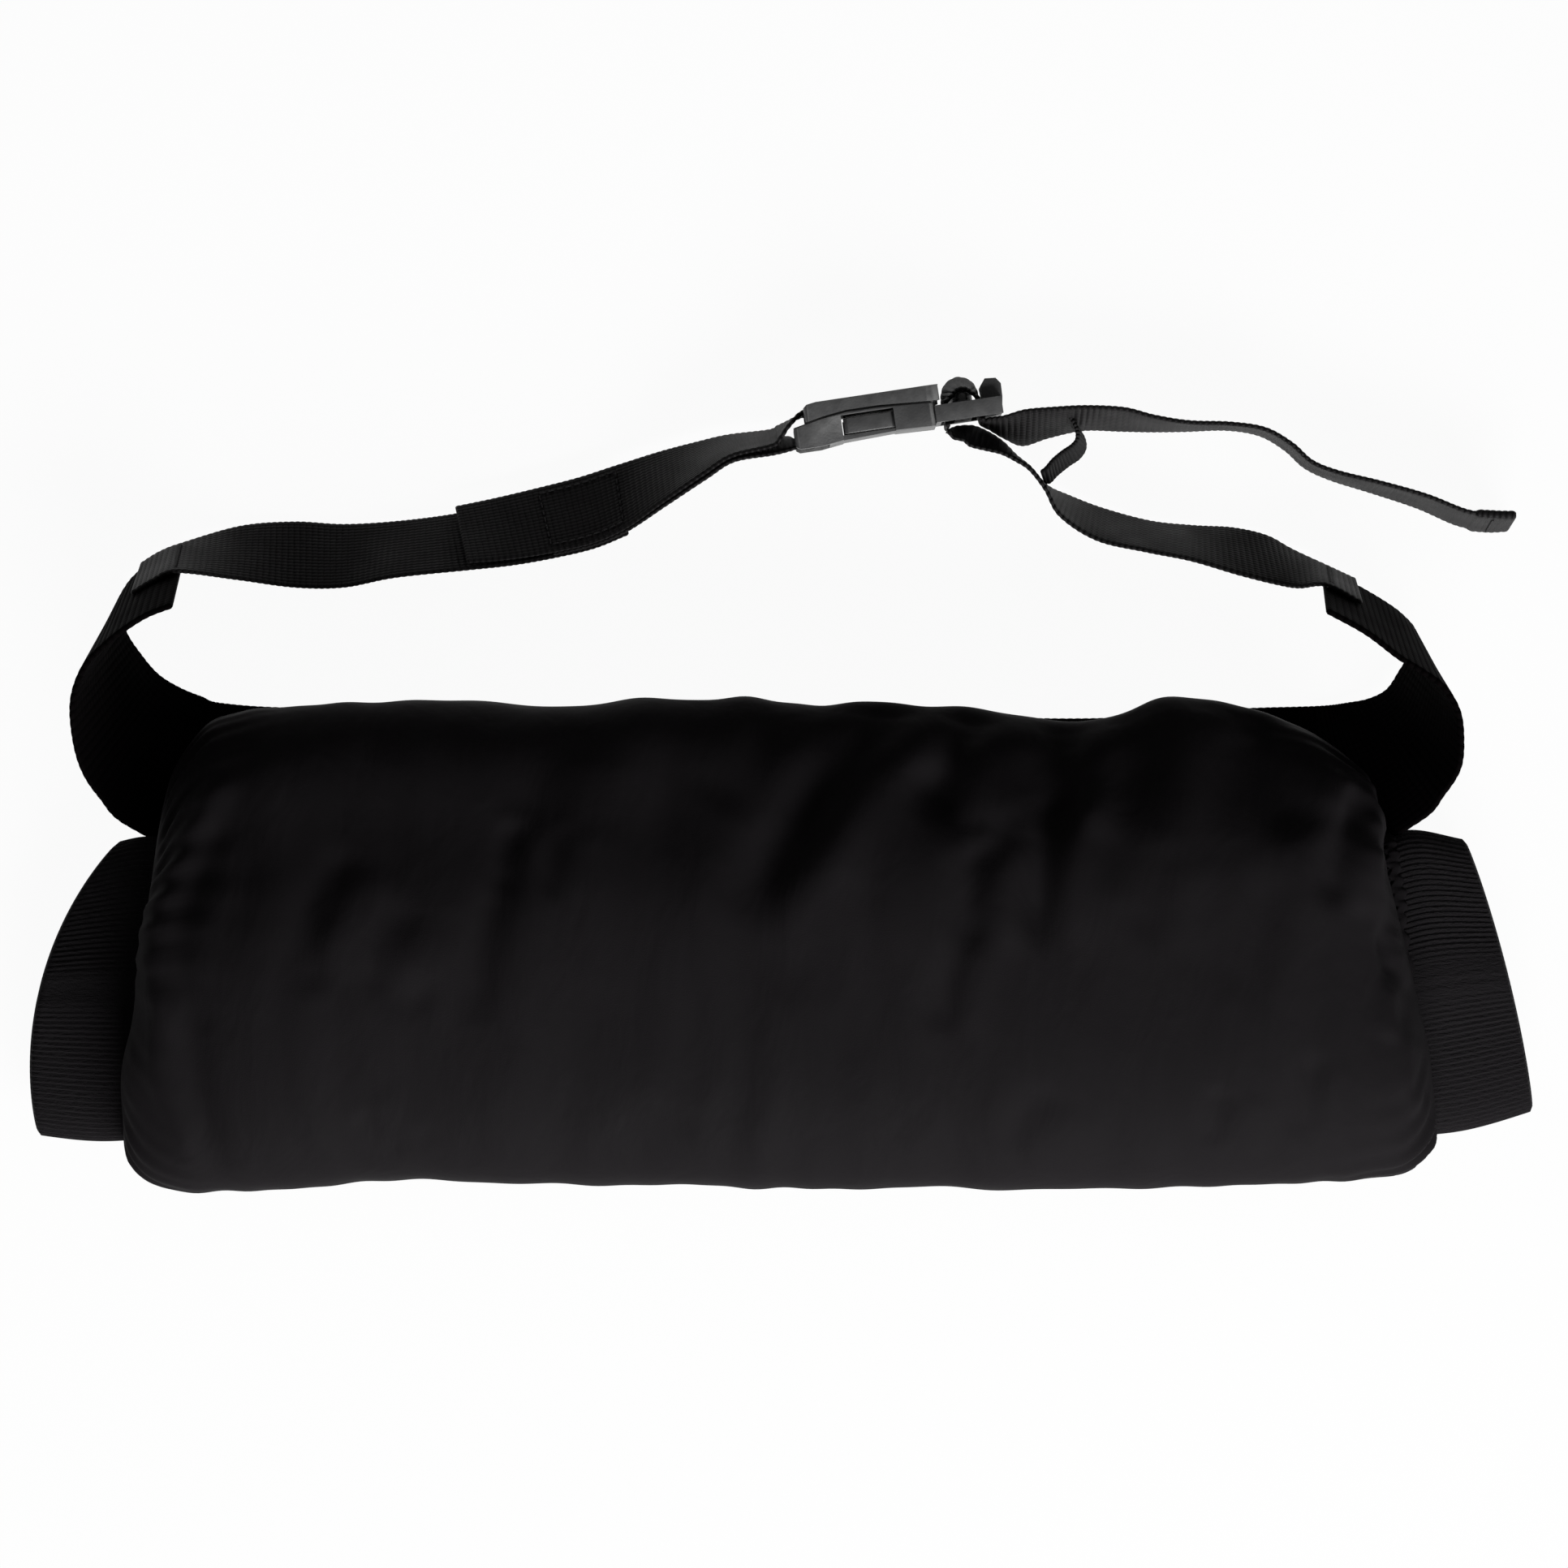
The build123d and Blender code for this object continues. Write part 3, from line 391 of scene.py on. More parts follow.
muff = {
    "endLean": 6.4, "halfLength": 194.0, "middleZ": 34.0, "girthRadius": 76.0,
    # x on the middle line, low y, high y, bottom z, height: the outside, from root to root
    "outside": [
        (-186, -58, 29, 10.5, 24), (-191, -58.5, 31, 9.8, 27), (-195.5, -61, 38, 10, 34),
        (-194, -67, 52, 7, 46), (-188, -74, 65, 3, 57), (-178, -77.8, 72, 0.6, 65),
        (-160, -76.5, 75, 0, 70), (-138, -75.5, 76.8, 0, 72), (-105, -73.5, 75.5, 0, 73),
        (-60, -74.5, 76, 0, 73), (0, -75.5, 76.5, 0, 73), (45, -75.8, 75, 0, 73),
        (75, -76, 71.8, 0, 72.5), (104, -75.8, 72, 0, 72.5), (125, -75.5, 76.8, 0, 72),
        (146, -75, 74.5, 0, 71), (162, -74, 72, 0, 69), (177, -72.5, 65, 0.6, 65),
        (187, -69.5, 54, 3, 57), (193, -64.5, 44, 7, 46), (195.5, -61, 36, 10, 34),
        (191, -59.5, 30, 9.8, 27), (186, -60, 28, 10.5, 24)],
    "tunnel": [(186, -59, 27, 11, 22.5), (150, -61.4, 53, 13.5, 41), (90, -63.4, 63.4, 12, 49),
               (-90, -63.4, 63.4, 12, 49), (-150, -61.4, 55, 13.5, 41), (-186, -57.5, 28, 11, 22.5)],
    "spacing": 3.4, "round": 112, "squareness": 2.5, "clothInset": 0.5, "heldRings": 3,
    "pressure": 4.0, "spareCloth": 0.035, "frames": 20, "most": 3.2,
    # x and y of a crease's two ends, half its width, its depth
    "creases": [
        (40, 77, -8, 14, 9, 4.6), (47, 56, 60, 34, 7, 2.8), (61, 32, 58, 2, 6.5, 3.2),
        (57, 4, 50, -24, 5, 1.6), (64, 75, 47, 42, 8, 3.0), (90, 70, 84, 38, 7, 2.4),
        (88, 50, 80, 4, 5.5, 3.4), (118, 72, 104, 20, 9, 2.2), (145, 72, 160, 36, 10, 3.8),
        (178, 44, 169, 14, 5, 2.8), (-131, 28, -146, 2, 6, 1.7), (-145, 4, -140, -12, 6, 1.2),
        (-112, 12, -126, -10, 6, 1.2), (-126, -8, -106, -16, 6, 1.0), (-80, 38, -84, 18, 5, 1.6),
        (-84, 20, -92, -20, 6, 1.6), (-67, 36, -70, 16, 5, 1.0), (-172, 49, -187, 14, 4.5, -2.0),
        (-188, 18, -186, -24, 4.5, -2.0), (-186, -18, -181, -66, 5, -1.6), (-128, -52, -116, -64, 5, 1.0),
        (84, -44, 70, -62, 6, 0.9), (137, -44, 133, -60, 5, 0.8), (165, -34, 160, -58, 5, 0.9),
        (-62, 66, -76, 40, 9, 1.2), (0, 72, -16, 44, 10, 1.8), (20, 20, 2, -14, 10, 0.9),
        (120, 30, 112, 4, 7, 1.2), (150, 20, 140, -14, 8, 1.0), (-30, -50, -44, -66, 8, 0.7),
        (176, 48, 183, 30, 3.5, 2.0), (184, 30, 189, 12, 3.5, -1.7), (187, 6, 191, -12, 3, 2.0),
        (190, -10, 187, -28, 3, -1.5), (192, -24, 193, -50, 3.5, -1.2)],
    "gatherDepth": 1.1, "gatherPitch": 12.5, "gatherReach": 11.0, "ripple": 0.6, "streak": 0.3,
    # a crest along the top, turned in plan, and the hollow behind it
    "crestY": 12.0, "crestTurn": 0.09, "crest": 2.4, "crestWidth": 26.0,
    "hollow": 2.2, "hollowAway": 34.0, "hollowWidth": 17.0,
    # the right end's slope and its limits, and the left end's bulge
    "endStart": 180.0, "endFade": 10.0, "slope": 0.12, "slopeY": -12.0, "slopeLimits": (-5.0, 2.4),
    "bulge": 2.6, "bulgeY": -38.0, "bulgeWidth": 14.0,
    # the tunnel's skin is kept still inside this half width and near this height
    "stillHalf": 40.0, "stillZ": 36.0, "stillFade": 30.0,
    "paddingInset": 12.0, "paddingSpacing": 8.0, "tunnelSpacing": 12.0, "tunnelWall": 1.5,
}


def tubeSections(rows, count, squareness, leans):
    # superellipse sections: y and z are powers of the cosine and sine, on upright planes that lean in plan
    x, low, high, bottom, height = np.asarray(rows, float).T
    turn = np.linspace(0, 2 * pi, count, endpoint=False)
    power = 2 / squareness
    sideways = np.sign(np.cos(turn)) * np.abs(np.cos(turn)) ** power
    upward = np.sign(np.sin(turn)) * np.abs(np.sin(turn)) ** power
    y = ((low + high) / 2)[:, None] + ((high - low) / 2)[:, None] * sideways
    z = (bottom + height / 2)[:, None] + (height / 2)[:, None] * upward
    lean = np.radians(leans)[:, None]
    return np.stack([x[:, None] + y * np.sin(lean), y * np.cos(lean), z], -1)


def takenIn(rows, wall):
    # the same sections, smaller by the wall on every side
    return np.asarray(rows, float) + np.array([0, wall, -wall, wall, -2 * wall])


def muffTube(name, outside, tunnel):
    # the outside's sections one way and the tunnel's back, joined at both roots
    rows = np.vstack([outside, tunnel])
    leans = -muff["endLean"] * rows[:, 0] / muff["halfLength"]
    grid = tubeSections(rows, muff["round"], muff["squareness"], leans)
    grid[:len(outside), :, 2] = np.maximum(grid[:len(outside), :, 2], 0)
    return gridMesh(name, grid, closedRows=True)


def swell(piece, held):
    # pressure and spare cloth work on all but the held points; each move m becomes most * tanh(m / most)
    before = meshPoints(piece)
    piece.vertex_groups.new(name="held").add(held.tolist(), 1.0, "REPLACE")
    cloth = piece.modifiers.new("swell", "CLOTH")
    cloth.settings.vertex_group_mass = "held"
    cloth.settings.use_pressure = True
    cloth.settings.uniform_pressure_force = muff["pressure"]
    cloth.settings.shrink_min = -muff["spareCloth"]
    cloth.settings.effector_weights.gravity = 0
    cloth.collision_settings.use_collision = False
    cloth.point_cache.frame_end = muff["frames"]
    for step in range(1, muff["frames"] + 1):
        bpy.context.scene.frame_set(step)
    modifiersApplied(piece)
    piece.vertex_groups.clear()
    move = meshPoints(piece) - before
    size = np.linalg.norm(move, axis=1, keepdims=True)
    most = muff["most"] * mm
    movePoints(piece, before + move * most * np.tanh(size / most) / np.maximum(size, 1e-9))


def creaseDepth(x, y):
    # each crease is a trough exp(-(d/w)^2) with a softer ridge beside it, faded towards its ends
    x0, y0, x1, y1, width, depth = np.array(muff["creases"], float).T
    run = np.hypot(x1 - x0, y1 - y0)
    ux, uy = (x1 - x0) / run, (y1 - y0) / run
    dx, dy = x[:, None] - x0, y[:, None] - y0
    along = dx * ux + dy * uy
    t = along / run
    across = dy * ux - dx * uy + 0.06 * run * np.sin(pi * np.clip(t, 0, 1))
    beyond = np.maximum(-along, 0) + np.maximum(along - run, 0)
    fade = smoothStep((t + 0.15) / 0.35) * smoothStep((1.15 - t) / 0.35) * np.exp(-(beyond / width) ** 2)
    trough = -np.exp(-(across / width) ** 2)
    ridge = 0.55 * np.exp(-((across - 1.7 * width) / (1.2 * width)) ** 2)
    return ((trough + ridge) * fade * depth).sum(1)


def gathersAt(turn, side, fromEnd):
    # two cosines of the way round, bent by sines of the distance from the end, that fade away from it
    bend = 2.2 * np.sin(fromEnd / 9 + 2.1 * np.sin(turn * 2)) + 4.0 * np.sin(turn * 3 + side)
    around = muff["girthRadius"] * turn
    gathers = np.cos((around + bend) * 2 * pi / muff["gatherPitch"])
    gathers += 0.5 * np.cos((around - 0.6 * bend) * 2 * pi / (1.73 * muff["gatherPitch"]) + 1.3)
    gathers *= 0.6 + 0.55 * np.sin(turn * 2.3 + 0.8 * side) + 0.3 * np.sin(turn * 5.1)
    return gathers * muff["gatherDepth"] * np.exp(-fromEnd / muff["gatherReach"]) * smoothStep(fromEnd / 3)


def ripplesAt(x, y, z, above):
    # slow sines that bend one another, fine streaks, then the crest less the hollow, each exp(-(d/w)^2)
    slow = np.sin(x / 13 + 2.2 * np.sin(y / 31) + z / 17)
    slow += 0.8 * np.sin(x / 7.4 - y / 23 + 1.9 * np.sin(x / 41))
    slow *= muff["ripple"] * (0.6 + 0.8 * smoothStep((y + 10) / 70))
    streaks = np.sin(x / 3.4 + 1.4 * np.sin(y / 19 + x / 50) + 2.2 * np.sin(x / 27)) * np.sin(x / 19 + y / 47)
    fromCrest = y - muff["crestY"] - muff["crestTurn"] * x
    crest = muff["crest"] * np.exp(-(fromCrest / muff["crestWidth"]) ** 2)
    hollow = muff["hollow"] * np.exp(-((fromCrest - muff["hollowAway"]) / muff["hollowWidth"]) ** 2)
    return slow + muff["streak"] * streaks + above * (crest - hollow)


def endShift(x, y):
    # along x: the right end slopes with y between its limits, and the left end bulges by exp(-(d/w)^2)
    slope = np.clip(-muff["slope"] * (y - muff["slopeY"]), *muff["slopeLimits"])
    bulge = muff["bulge"] * np.exp(-((y - muff["bulgeY"]) / muff["bulgeWidth"]) ** 2)
    right, left = (smoothStep((side * x - muff["endStart"]) / muff["endFade"]) for side in (1, -1))
    return slope * right - bulge * left


def rumple(piece):
    # creases on the upper face, gathers at the ends and ripples move every point along its normal
    points, normals = meshPoints(piece) / mm, meshPoints(piece, "normal")
    x, y, z = points.T
    lean = np.radians(-muff["endLean"] * x / muff["halfLength"])
    turn = np.arctan2((z - muff["middleZ"]) * 2, y)
    fromEnd = np.maximum(muff["halfLength"] + 1.5 - np.abs(x - y * np.tan(lean)), 0)
    above = smoothStep((normals[:, 2] - 0.05) / 0.4)
    outer = smoothStep((np.abs(y) - muff["stillHalf"] + np.abs(z - muff["stillZ"])) / muff["stillFade"])
    lift = creaseDepth(x, y) * above + gathersAt(turn, np.sign(x), fromEnd) + ripplesAt(x, y, z, above)
    lift *= np.clip(outer + above, 0, 1) * smoothStep(z / 6)
    moved = points + normals * lift[:, None]
    moved[:, 0] += endShift(x, y)
    moved[:, 2] = np.maximum(moved[:, 2], 0)
    movePoints(piece, moved * mm)


outside = evenAlong(muff["outside"], muff["spacing"])
tunnel = evenAlong(muff["tunnel"], muff["tunnelSpacing"])
muffCover = muffTube("muffCover", takenIn(outside, muff["clothInset"]), tunnel)
outerCount = len(outside) * muff["round"]
endCount = muff["heldRings"] * muff["round"]
swell(muffCover, np.r_[0:endCount, outerCount - endCount:outerCount + len(tunnel) * muff["round"]])
muffCover.modifiers.new("smooth", "SUBSURF").levels = 1
modifiersApplied(muffCover)
rumple(muffCover)
dress(muffCover, coverNylon, "shell_fabric", "root", "outer_shell")

# the padding stops short of the ends and lies deep enough for every crease
paddingOutside = takenIn(evenAlong(muff["outside"][5:-5], muff["paddingSpacing"]), muff["paddingInset"])
muffPadding = muffTube("muffPadding", paddingOutside, takenIn(tunnel, -muff["tunnelWall"])[3:-3])
dress(muffPadding, paddingFibre, "wadding", "root", "wadding")
print("muff swollen and creased")

# the fleece tube inside it

lining = {
    "sections": [(-184, -60, 29, 10.0, 24), (-150, -62, 56, 13.0, 42), (-90, -64, 64, 11.5, 50),
                 (90, -64, 64, 11.5, 50), (150, -62, 54, 13.0, 42), (184, -60, 28, 10.0, 24)],
    "clearance": 1.2, "wall": 1.4, "spacing": 4.0, "round": 96, "sag": 0.5, "middleZ": 36.0,
}


def makeLining():
    # an outer and an inner skin a wall apart, the inner one softly rippled
    rows = takenIn(evenAlong(lining["sections"], lining["spacing"]), lining["clearance"])
    leans = -muff["endLean"] * rows[:, 0] / muff["halfLength"]
    outer = tubeSections(rows, lining["round"], muff["squareness"], leans)
    inner = tubeSections(takenIn(rows, lining["wall"]), lining["round"], muff["squareness"], leans)
    ripple = np.sin(inner[..., 0] / 11 + 2 * np.sin(inner[..., 1] / 19))
    inner[..., 2] += lining["sag"] * (ripple - 1) * np.sign(inner[..., 2] - lining["middleZ"])
    return gridMesh("tunnelLining", np.concatenate([outer, inner[::-1]]), closedRows=True)


tunnelLining = makeLining()
dress(tunnelLining, tunnelFleece, "fleece", "root", "fleece_lining")
print("lining made")

# knitted cuffs, their ribs running out along the arm

cuffs = {
    # x, lean in degrees, low y, high y, bottom z, height; then the mouth's arc: centre and radius
    "left": ([(-184, 6.07, -60, 29, 10.0, 24), (-203, 10.5, -62.2, 34, 5.0, 24),
              (-229, 17.5, -59.8, 29, 0.8, 22)], (-125.5, -38.5, 106.6)),
    "right": ([(184, -6.07, -60, 28, 10.0, 24), (203, -11.0, -59, 36, 5.0, 24),
               (226, -18.0, -52.6, 34, 0.8, 22)], (-194.4, -113.6, 433.9)),
    "wall": 2.6, "rim": 0.9, "ribPitch": 1.6, "ribDepth": 0.26, "squareness": 3.2, "round": 1000, "rows": 30,
}


def cuffSkin(sections, inset, phase):
    # rounded sections whose radius swells and sinks once a rib all the way round
    rows = throughPoints(sections, np.linspace(0, len(sections) - 1, 2 * cuffs["rows"]))
    plain = takenIn(rows[:, [0, 2, 3, 4, 5]], inset)
    points = tubeSections(plain, cuffs["round"], cuffs["squareness"], rows[:, 1])
    ring = np.vstack([points[0], points[0, :1]])
    run = np.r_[0, np.cumsum(np.linalg.norm(np.diff(ring, axis=0), axis=1))]
    ribs = round(run[-1] / cuffs["ribPitch"])
    swelling = cuffs["ribDepth"] * np.cos(2 * pi * ribs * run[:-1] / run[-1] + phase)
    outward = unit(points - points.mean(1, keepdims=True))
    return points + outward * swelling[None, :, None]


def cutToArc(points, arc):
    # each column runs out only as far as an upright cylinder round the arc's centre
    centreX, centreY, radius = arc
    reach = np.hypot(points[..., 0] - centreX, points[..., 1] - centreY)
    last = np.maximum(np.argmax(reach > radius, axis=0), 1)
    column = np.arange(points.shape[1])
    short, far = reach[last - 1, column], reach[last, column]
    stop = last - 1 + np.clip((radius - short) / (far - short), 0, 1)
    at = np.linspace(0, 1, cuffs["rows"])[:, None] * stop
    low = np.minimum(np.floor(at).astype(int), len(points) - 2)
    t = (at - low)[..., None]
    return points[low, column] * (1 - t) + points[low + 1, column] * t


def makeCuff(name, sections, arc):
    # an outer and an inner skin a wall apart, joined by a rounded rim at the mouth
    outer = cutToArc(cuffSkin(sections, 0.0, 0.0), arc)
    inner = cutToArc(cuffSkin(sections, cuffs["wall"], pi), arc)
    rim = (outer[-1] + inner[-1]) / 2 + unit(outer[-1] - outer[-2]) * cuffs["rim"]
    grid = np.concatenate([outer, rim[None], inner[::-1]])
    grid[..., 2] = np.maximum(grid[..., 2], floorGap)
    return gridMesh(name, grid, closedRows=True), outer


cuffSkins = {}
for side in ("left", "right"):
    cuff, cuffSkins[side] = makeCuff(side + "Cuff", *cuffs[side])
    dress(cuff, cuffKnit, "knitted_cuff", "root", side + "_cuff")
print("cuffs knitted")

# the folded hem where the cover is gathered onto each cuff: distance from the root, and the puckers' phase

hem = {"left": (11.0, 0.4), "right": (11.5, 2.0), "halfHeight": 0.8, "halfWidth": 1.9, "standOff": 0.55,
       "sides": 14, "puckers": 46, "pucker": 0.7, "evened": 4}


def makeHem(name, skin, fromRoot, phase):
    # an oval tube round the cuff at one distance from its root, pinched at each pucker
    run = np.linalg.norm(np.diff(skin, axis=0), axis=2).cumsum(0)
    row = np.argmax(run > fromRoot, axis=0)
    ring = skin[row, np.arange(skin.shape[1])]
    shifts = range(-hem["evened"], hem["evened"] + 1)
    ring = sum(np.roll(ring, shift, axis=0) for shift in shifts) / len(shifts)
    ring, outwardRun = ring[::2], unit((skin[-1] - skin[0])[::2])
    outward = unit((ring - ring.mean(0)) * [0.2, 1, 1])
    turn = np.linspace(0, 2 * pi, hem["sides"], endpoint=False)
    angle = np.linspace(0, 2 * pi, len(ring), endpoint=False)
    pinch = np.cos(hem["puckers"] * angle + 3 * np.sin(5 * angle) + phase)
    high = hem["halfHeight"] * (1 + 0.35 * pinch)
    wide = hem["halfWidth"] * (1 + 0.2 * np.sin(17 * angle + phase))
    middle = ring + outward * hem["standOff"] + outwardRun * (hem["pucker"] * pinch)[:, None]
    grid = (middle[:, None] + outward[:, None] * (high[:, None] * np.sin(turn))[..., None]
            + outwardRun[:, None] * (wide[:, None] * np.cos(turn))[..., None])
    grid[..., 2] = np.maximum(grid[..., 2], floorGap)
    return gridMesh(name, grid, closedRows=True)


for side in ("left", "right"):
    cuffHem = makeHem(side + "Hem", cuffSkins[side], *hem[side])
    dress(cuffHem, coverNylon, "binding_tape", "root", side + "_binding")

# band and straps: flat ribbons on courses of x and y at the lower edge, x and y at the upper edge, lower z

strap = {"width": 25.0, "thickness": 1.5, "layer": 1.6, "overlapStart": 4, "stitchStart": 6, "overlapEnd": 8,
         "hemLength": 13.0, "hemExtra": 0.65, "keeperWidth": 12.0, "keeperThickness": 1.4}
band = {"width": 50.0, "thickness": 2.0, "middleY": 49.0, "boxX": 128.0, "boxHalf": (18.7, 20.7)}
buckle = {"angle": radians(8.4), "x": 5.0, "y": 160.0, "middleZ": 16.5}
leftBandCourse = [
    (-150, 74, -150, 24, 1.4), (-174.5, 75.5, -179.5, 26, 1.6), (-181, 77.6, -203, 37, 1.8),
    (-188, 80.4, -210.5, 45.5, 2), (-194.5, 84.4, -215.5, 54, 2.2), (-200, 90.5, -217.8, 64.5, 2.2),
    (-205, 98, -217.8, 76, 2.2), (-206.6, 106, -213.8, 86, 2.2), (-203.5, 112.8, -207.6, 92.6, 2.2),
    (-198.8, 117.6, -201.5, 97.5, 2.2), (-193, 121.2, -194.5, 101.8, 2.2),
    (-186, 123.9, -186.7, 104.8, 2.2)]
rightBandCourse = [
    (150, 74, 150, 24, 1.4), (170, 74.6, 177.5, 26, 1.6), (179, 75.6, 200, 38.5, 1.8),
    (186, 76.9, 206.5, 46.5, 2), (191.5, 79.8, 211, 54.5, 2.2), (195.5, 85.5, 211.6, 63.5, 2.2),
    (199.3, 92, 210.2, 72, 2.2), (199.6, 98, 205.4, 79.6, 2.2), (195.6, 103, 198.6, 84.6, 2.2),
    (189.9, 107.2, 191.8, 88.8, 2.2), (180.5, 112.6, 181.5, 96.5, 2.2), (171, 117, 169.3, 103.2, 2.2)]
bandMiddle = [
    (-90, 74, -90, 24, 1.4), (30, 73.6, 30, 23.6, 1.4), (65, 71.2, 65, 21.2, 1.4),
    (102, 70.8, 102, 20.8, 1.4), (126, 73, 126, 23, 1.4)]
leftStrapCourse = [
    (-168.6, 131, -169, 113.8, 1.5), (-151.7, 132.4, -151, 111.4, 1.2), (-136, 131.6, -135.5, 111.4, 1.2),
    (-118.5, 132.6, -119.5, 114.4, 1.4), (-101, 134.9, -96.5, 116.8, 1.6), (-88, 137.9, -82.8, 118.3, 1.8),
    (-75, 141.2, -69.8, 120.6, 1.9), (-62, 144.6, -57.2, 123.6, 2), (-50, 148.2, -46.5, 127.9, 2.4),
    (-36, 151.9, -34.2, 135.6, 2.8), (-24, 154.5, -21.5, 143.8, 3.2), (-14.5, 156.4, -13, 149, 3.6)]
rightStrapCourse = [
    (161.5, 123.6, 162.5, 111.2, 1.8), (153.5, 128, 156, 112.2, 1.4), (143, 130.4, 144, 115.2, 1.2),
    (130.5, 131, 129, 119.6, 1.4), (117, 132.4, 115, 122.4, 1.6), (102, 136.4, 99.5, 126, 2),
    (90.8, 140.6, 88, 133.4, 2.6), (84.2, 143.6, 83.4, 141.6, 3.2), (79.2, 149.2, 78.6, 147.8, 3.6),
    (74.8, 152.8, 74, 150.8, 3.7), (70.6, 157.1, 69.6, 152.9, 3.7), (66.2, 160.1, 64.8, 154, 3.8),
    (61.4, 162.1, 60, 155.2, 3.9)]
tailCourse = [
    (77, 156.4, 77, 166.2, 3.6), (85, 158.9, 85, 166.9, 3), (96, 161.3, 96, 167.4, 2.4),
    (108, 161.1, 108, 166.8, 1.8), (117, 161, 117.2, 164.4, 1.4), (128, 161.2, 128, 162.6, 1.2),
    (141, 161.6, 141.2, 162.1, 1.2), (151.5, 159.8, 151.8, 160.4, 1.2), (159.5, 155.2, 160, 155.8, 1.2),
    (165.8, 149.6, 166.3, 150.3, 1.2), (174, 145.8, 174.6, 147, 1.2), (187, 141.7, 187.8, 143.8, 1.2),
    (201, 137, 202, 139.8, 1.2), (213.5, 131.6, 214.5, 135, 1.2), (222.5, 130.2, 222.9, 134, 1.2),
    (229.5, 130.5, 229.8, 133.8, 1.2)]
# along the buckle and across its thickness, at the strap's lower edge and at its upper edge
barLoop = [
    (-7.6, 1.9, -7.4, -4), (-4.5, 2.8, -4.4, -2), (-1.6, 3.6, -1.6, 1.2), (3.2, 5, 3.2, 4.9),
    (6.4, 4.3, 6.4, 4.2), (8, 0.8, 8, 0.7), (7.6, -2.8, 7.6, -2.9), (5.6, -4.9, 5.6, -5),
    (2.5, -5, 2.5, -5.2), (-1.4, -1.3, -1.4, -5.8), (-7.6, -0.4, -7.4, -6.4)]
adjusterEntry = [
    (51.8, -5.6, 51.8, -10.8), (49.4, -5.9, 49.2, -9.8), (48, -6.4, 48, -8.4), (47.7, -6.7, 47.7, -6.7)]
adjusterRoll = [
    (47.7, -6.3, 47.7, -6.3), (47.6, -3, 47.6, -3), (47.6, 1, 47.8, 1), (47.9, 4.8, 50.6, 3.6),
    (49.6, 8, 51.8, 4.6), (53.2, 9.5, 53.3, 5), (56.8, 8, 54.9, 4.6), (58.4, 4.8, 56.2, 3.4),
    (58.6, 1, 58.4, 1), (58.2, -3, 58.2, -3), (58.9, -5.8, 59, -5.5), (61.2, -7.5, 61.4, -5.5),
    (65.5, -11.1, 65.6, -5.4)]
keeperCourse = [
    (83.4, 144.8, 82, 147.4, 7), (85.2, 144.5, 83.8, 148.8, 7), (87.6, 146.9, 86, 151.4, 7),
    (91.2, 149.8, 89, 153.9, 7), (94.6, 152.2, 91.8, 155.8, 7), (96.4, 155.4, 93.4, 158, 7),
    (95.4, 159.2, 93, 161.6, 7), (92, 162, 90.4, 165.4, 7), (86, 161.9, 86, 166, 7),
    (80.5, 160.4, 80.5, 165.4, 7)]


def courseEdges(course, width):
    # the upper edge stands as high as the strap's width leaves after its sideways spread
    footX, footY, topX, topY, footZ = np.asarray(course, float).T
    rise = np.sqrt(np.maximum(width ** 2 - np.hypot(topX - footX, topY - footY) ** 2, 0))
    return np.column_stack([footX, footY, footZ]), np.column_stack([topX, topY, footZ + rise])


def lifted(feet, tops, shift, inset=0.0, width=None):
    # both edges moved along the surface's normal, and narrowed about a line set in across it
    rising = unit(tops - feet)
    along = np.gradient((feet + tops) / 2, axis=0)
    facing = unit(np.cross(along, rising))
    feet, tops = feet + facing * shift, tops + facing * shift
    if width:
        centre = (feet + tops) / 2 + rising * inset
        feet, tops = centre - rising * width / 2, centre + rising * width / 2
    return feet, tops


def part(pair, *limits):
    # some of the places along a pair of edges
    return pair[0][slice(*limits)], pair[1][slice(*limits)]


def joined(*pairs):
    # pairs of edges, one after the other
    return np.vstack([pair[0] for pair in pairs]), np.vstack([pair[1] for pair in pairs])


def toPlan(along, across):
    # a place on the buckle, turned into the plan by the buckle's angle
    turnCos, turnSin = cos(buckle["angle"]), sin(buckle["angle"])
    x = buckle["x"] + along * turnCos - across * turnSin
    return x, buckle["y"] + along * turnSin + across * turnCos


def toBuckle(x, y):
    # the same turn taken back
    turnCos, turnSin = cos(buckle["angle"]), sin(buckle["angle"])
    x, y = x - buckle["x"], y - buckle["y"]
    return x * turnCos + y * turnSin, y * turnCos - x * turnSin


def buckleEdges(loop):
    # a course given along and across the buckle, centred on the buckle's height
    x, y = toPlan(*np.asarray(loop, float).reshape(-1, 2, 2).transpose(2, 0, 1))
    foot = np.full(len(loop), buckle["middleZ"] - strap["width"] / 2)
    return courseEdges(np.column_stack([x[:, 0], y[:, 0], x[:, 1], y[:, 1], foot]), strap["width"])


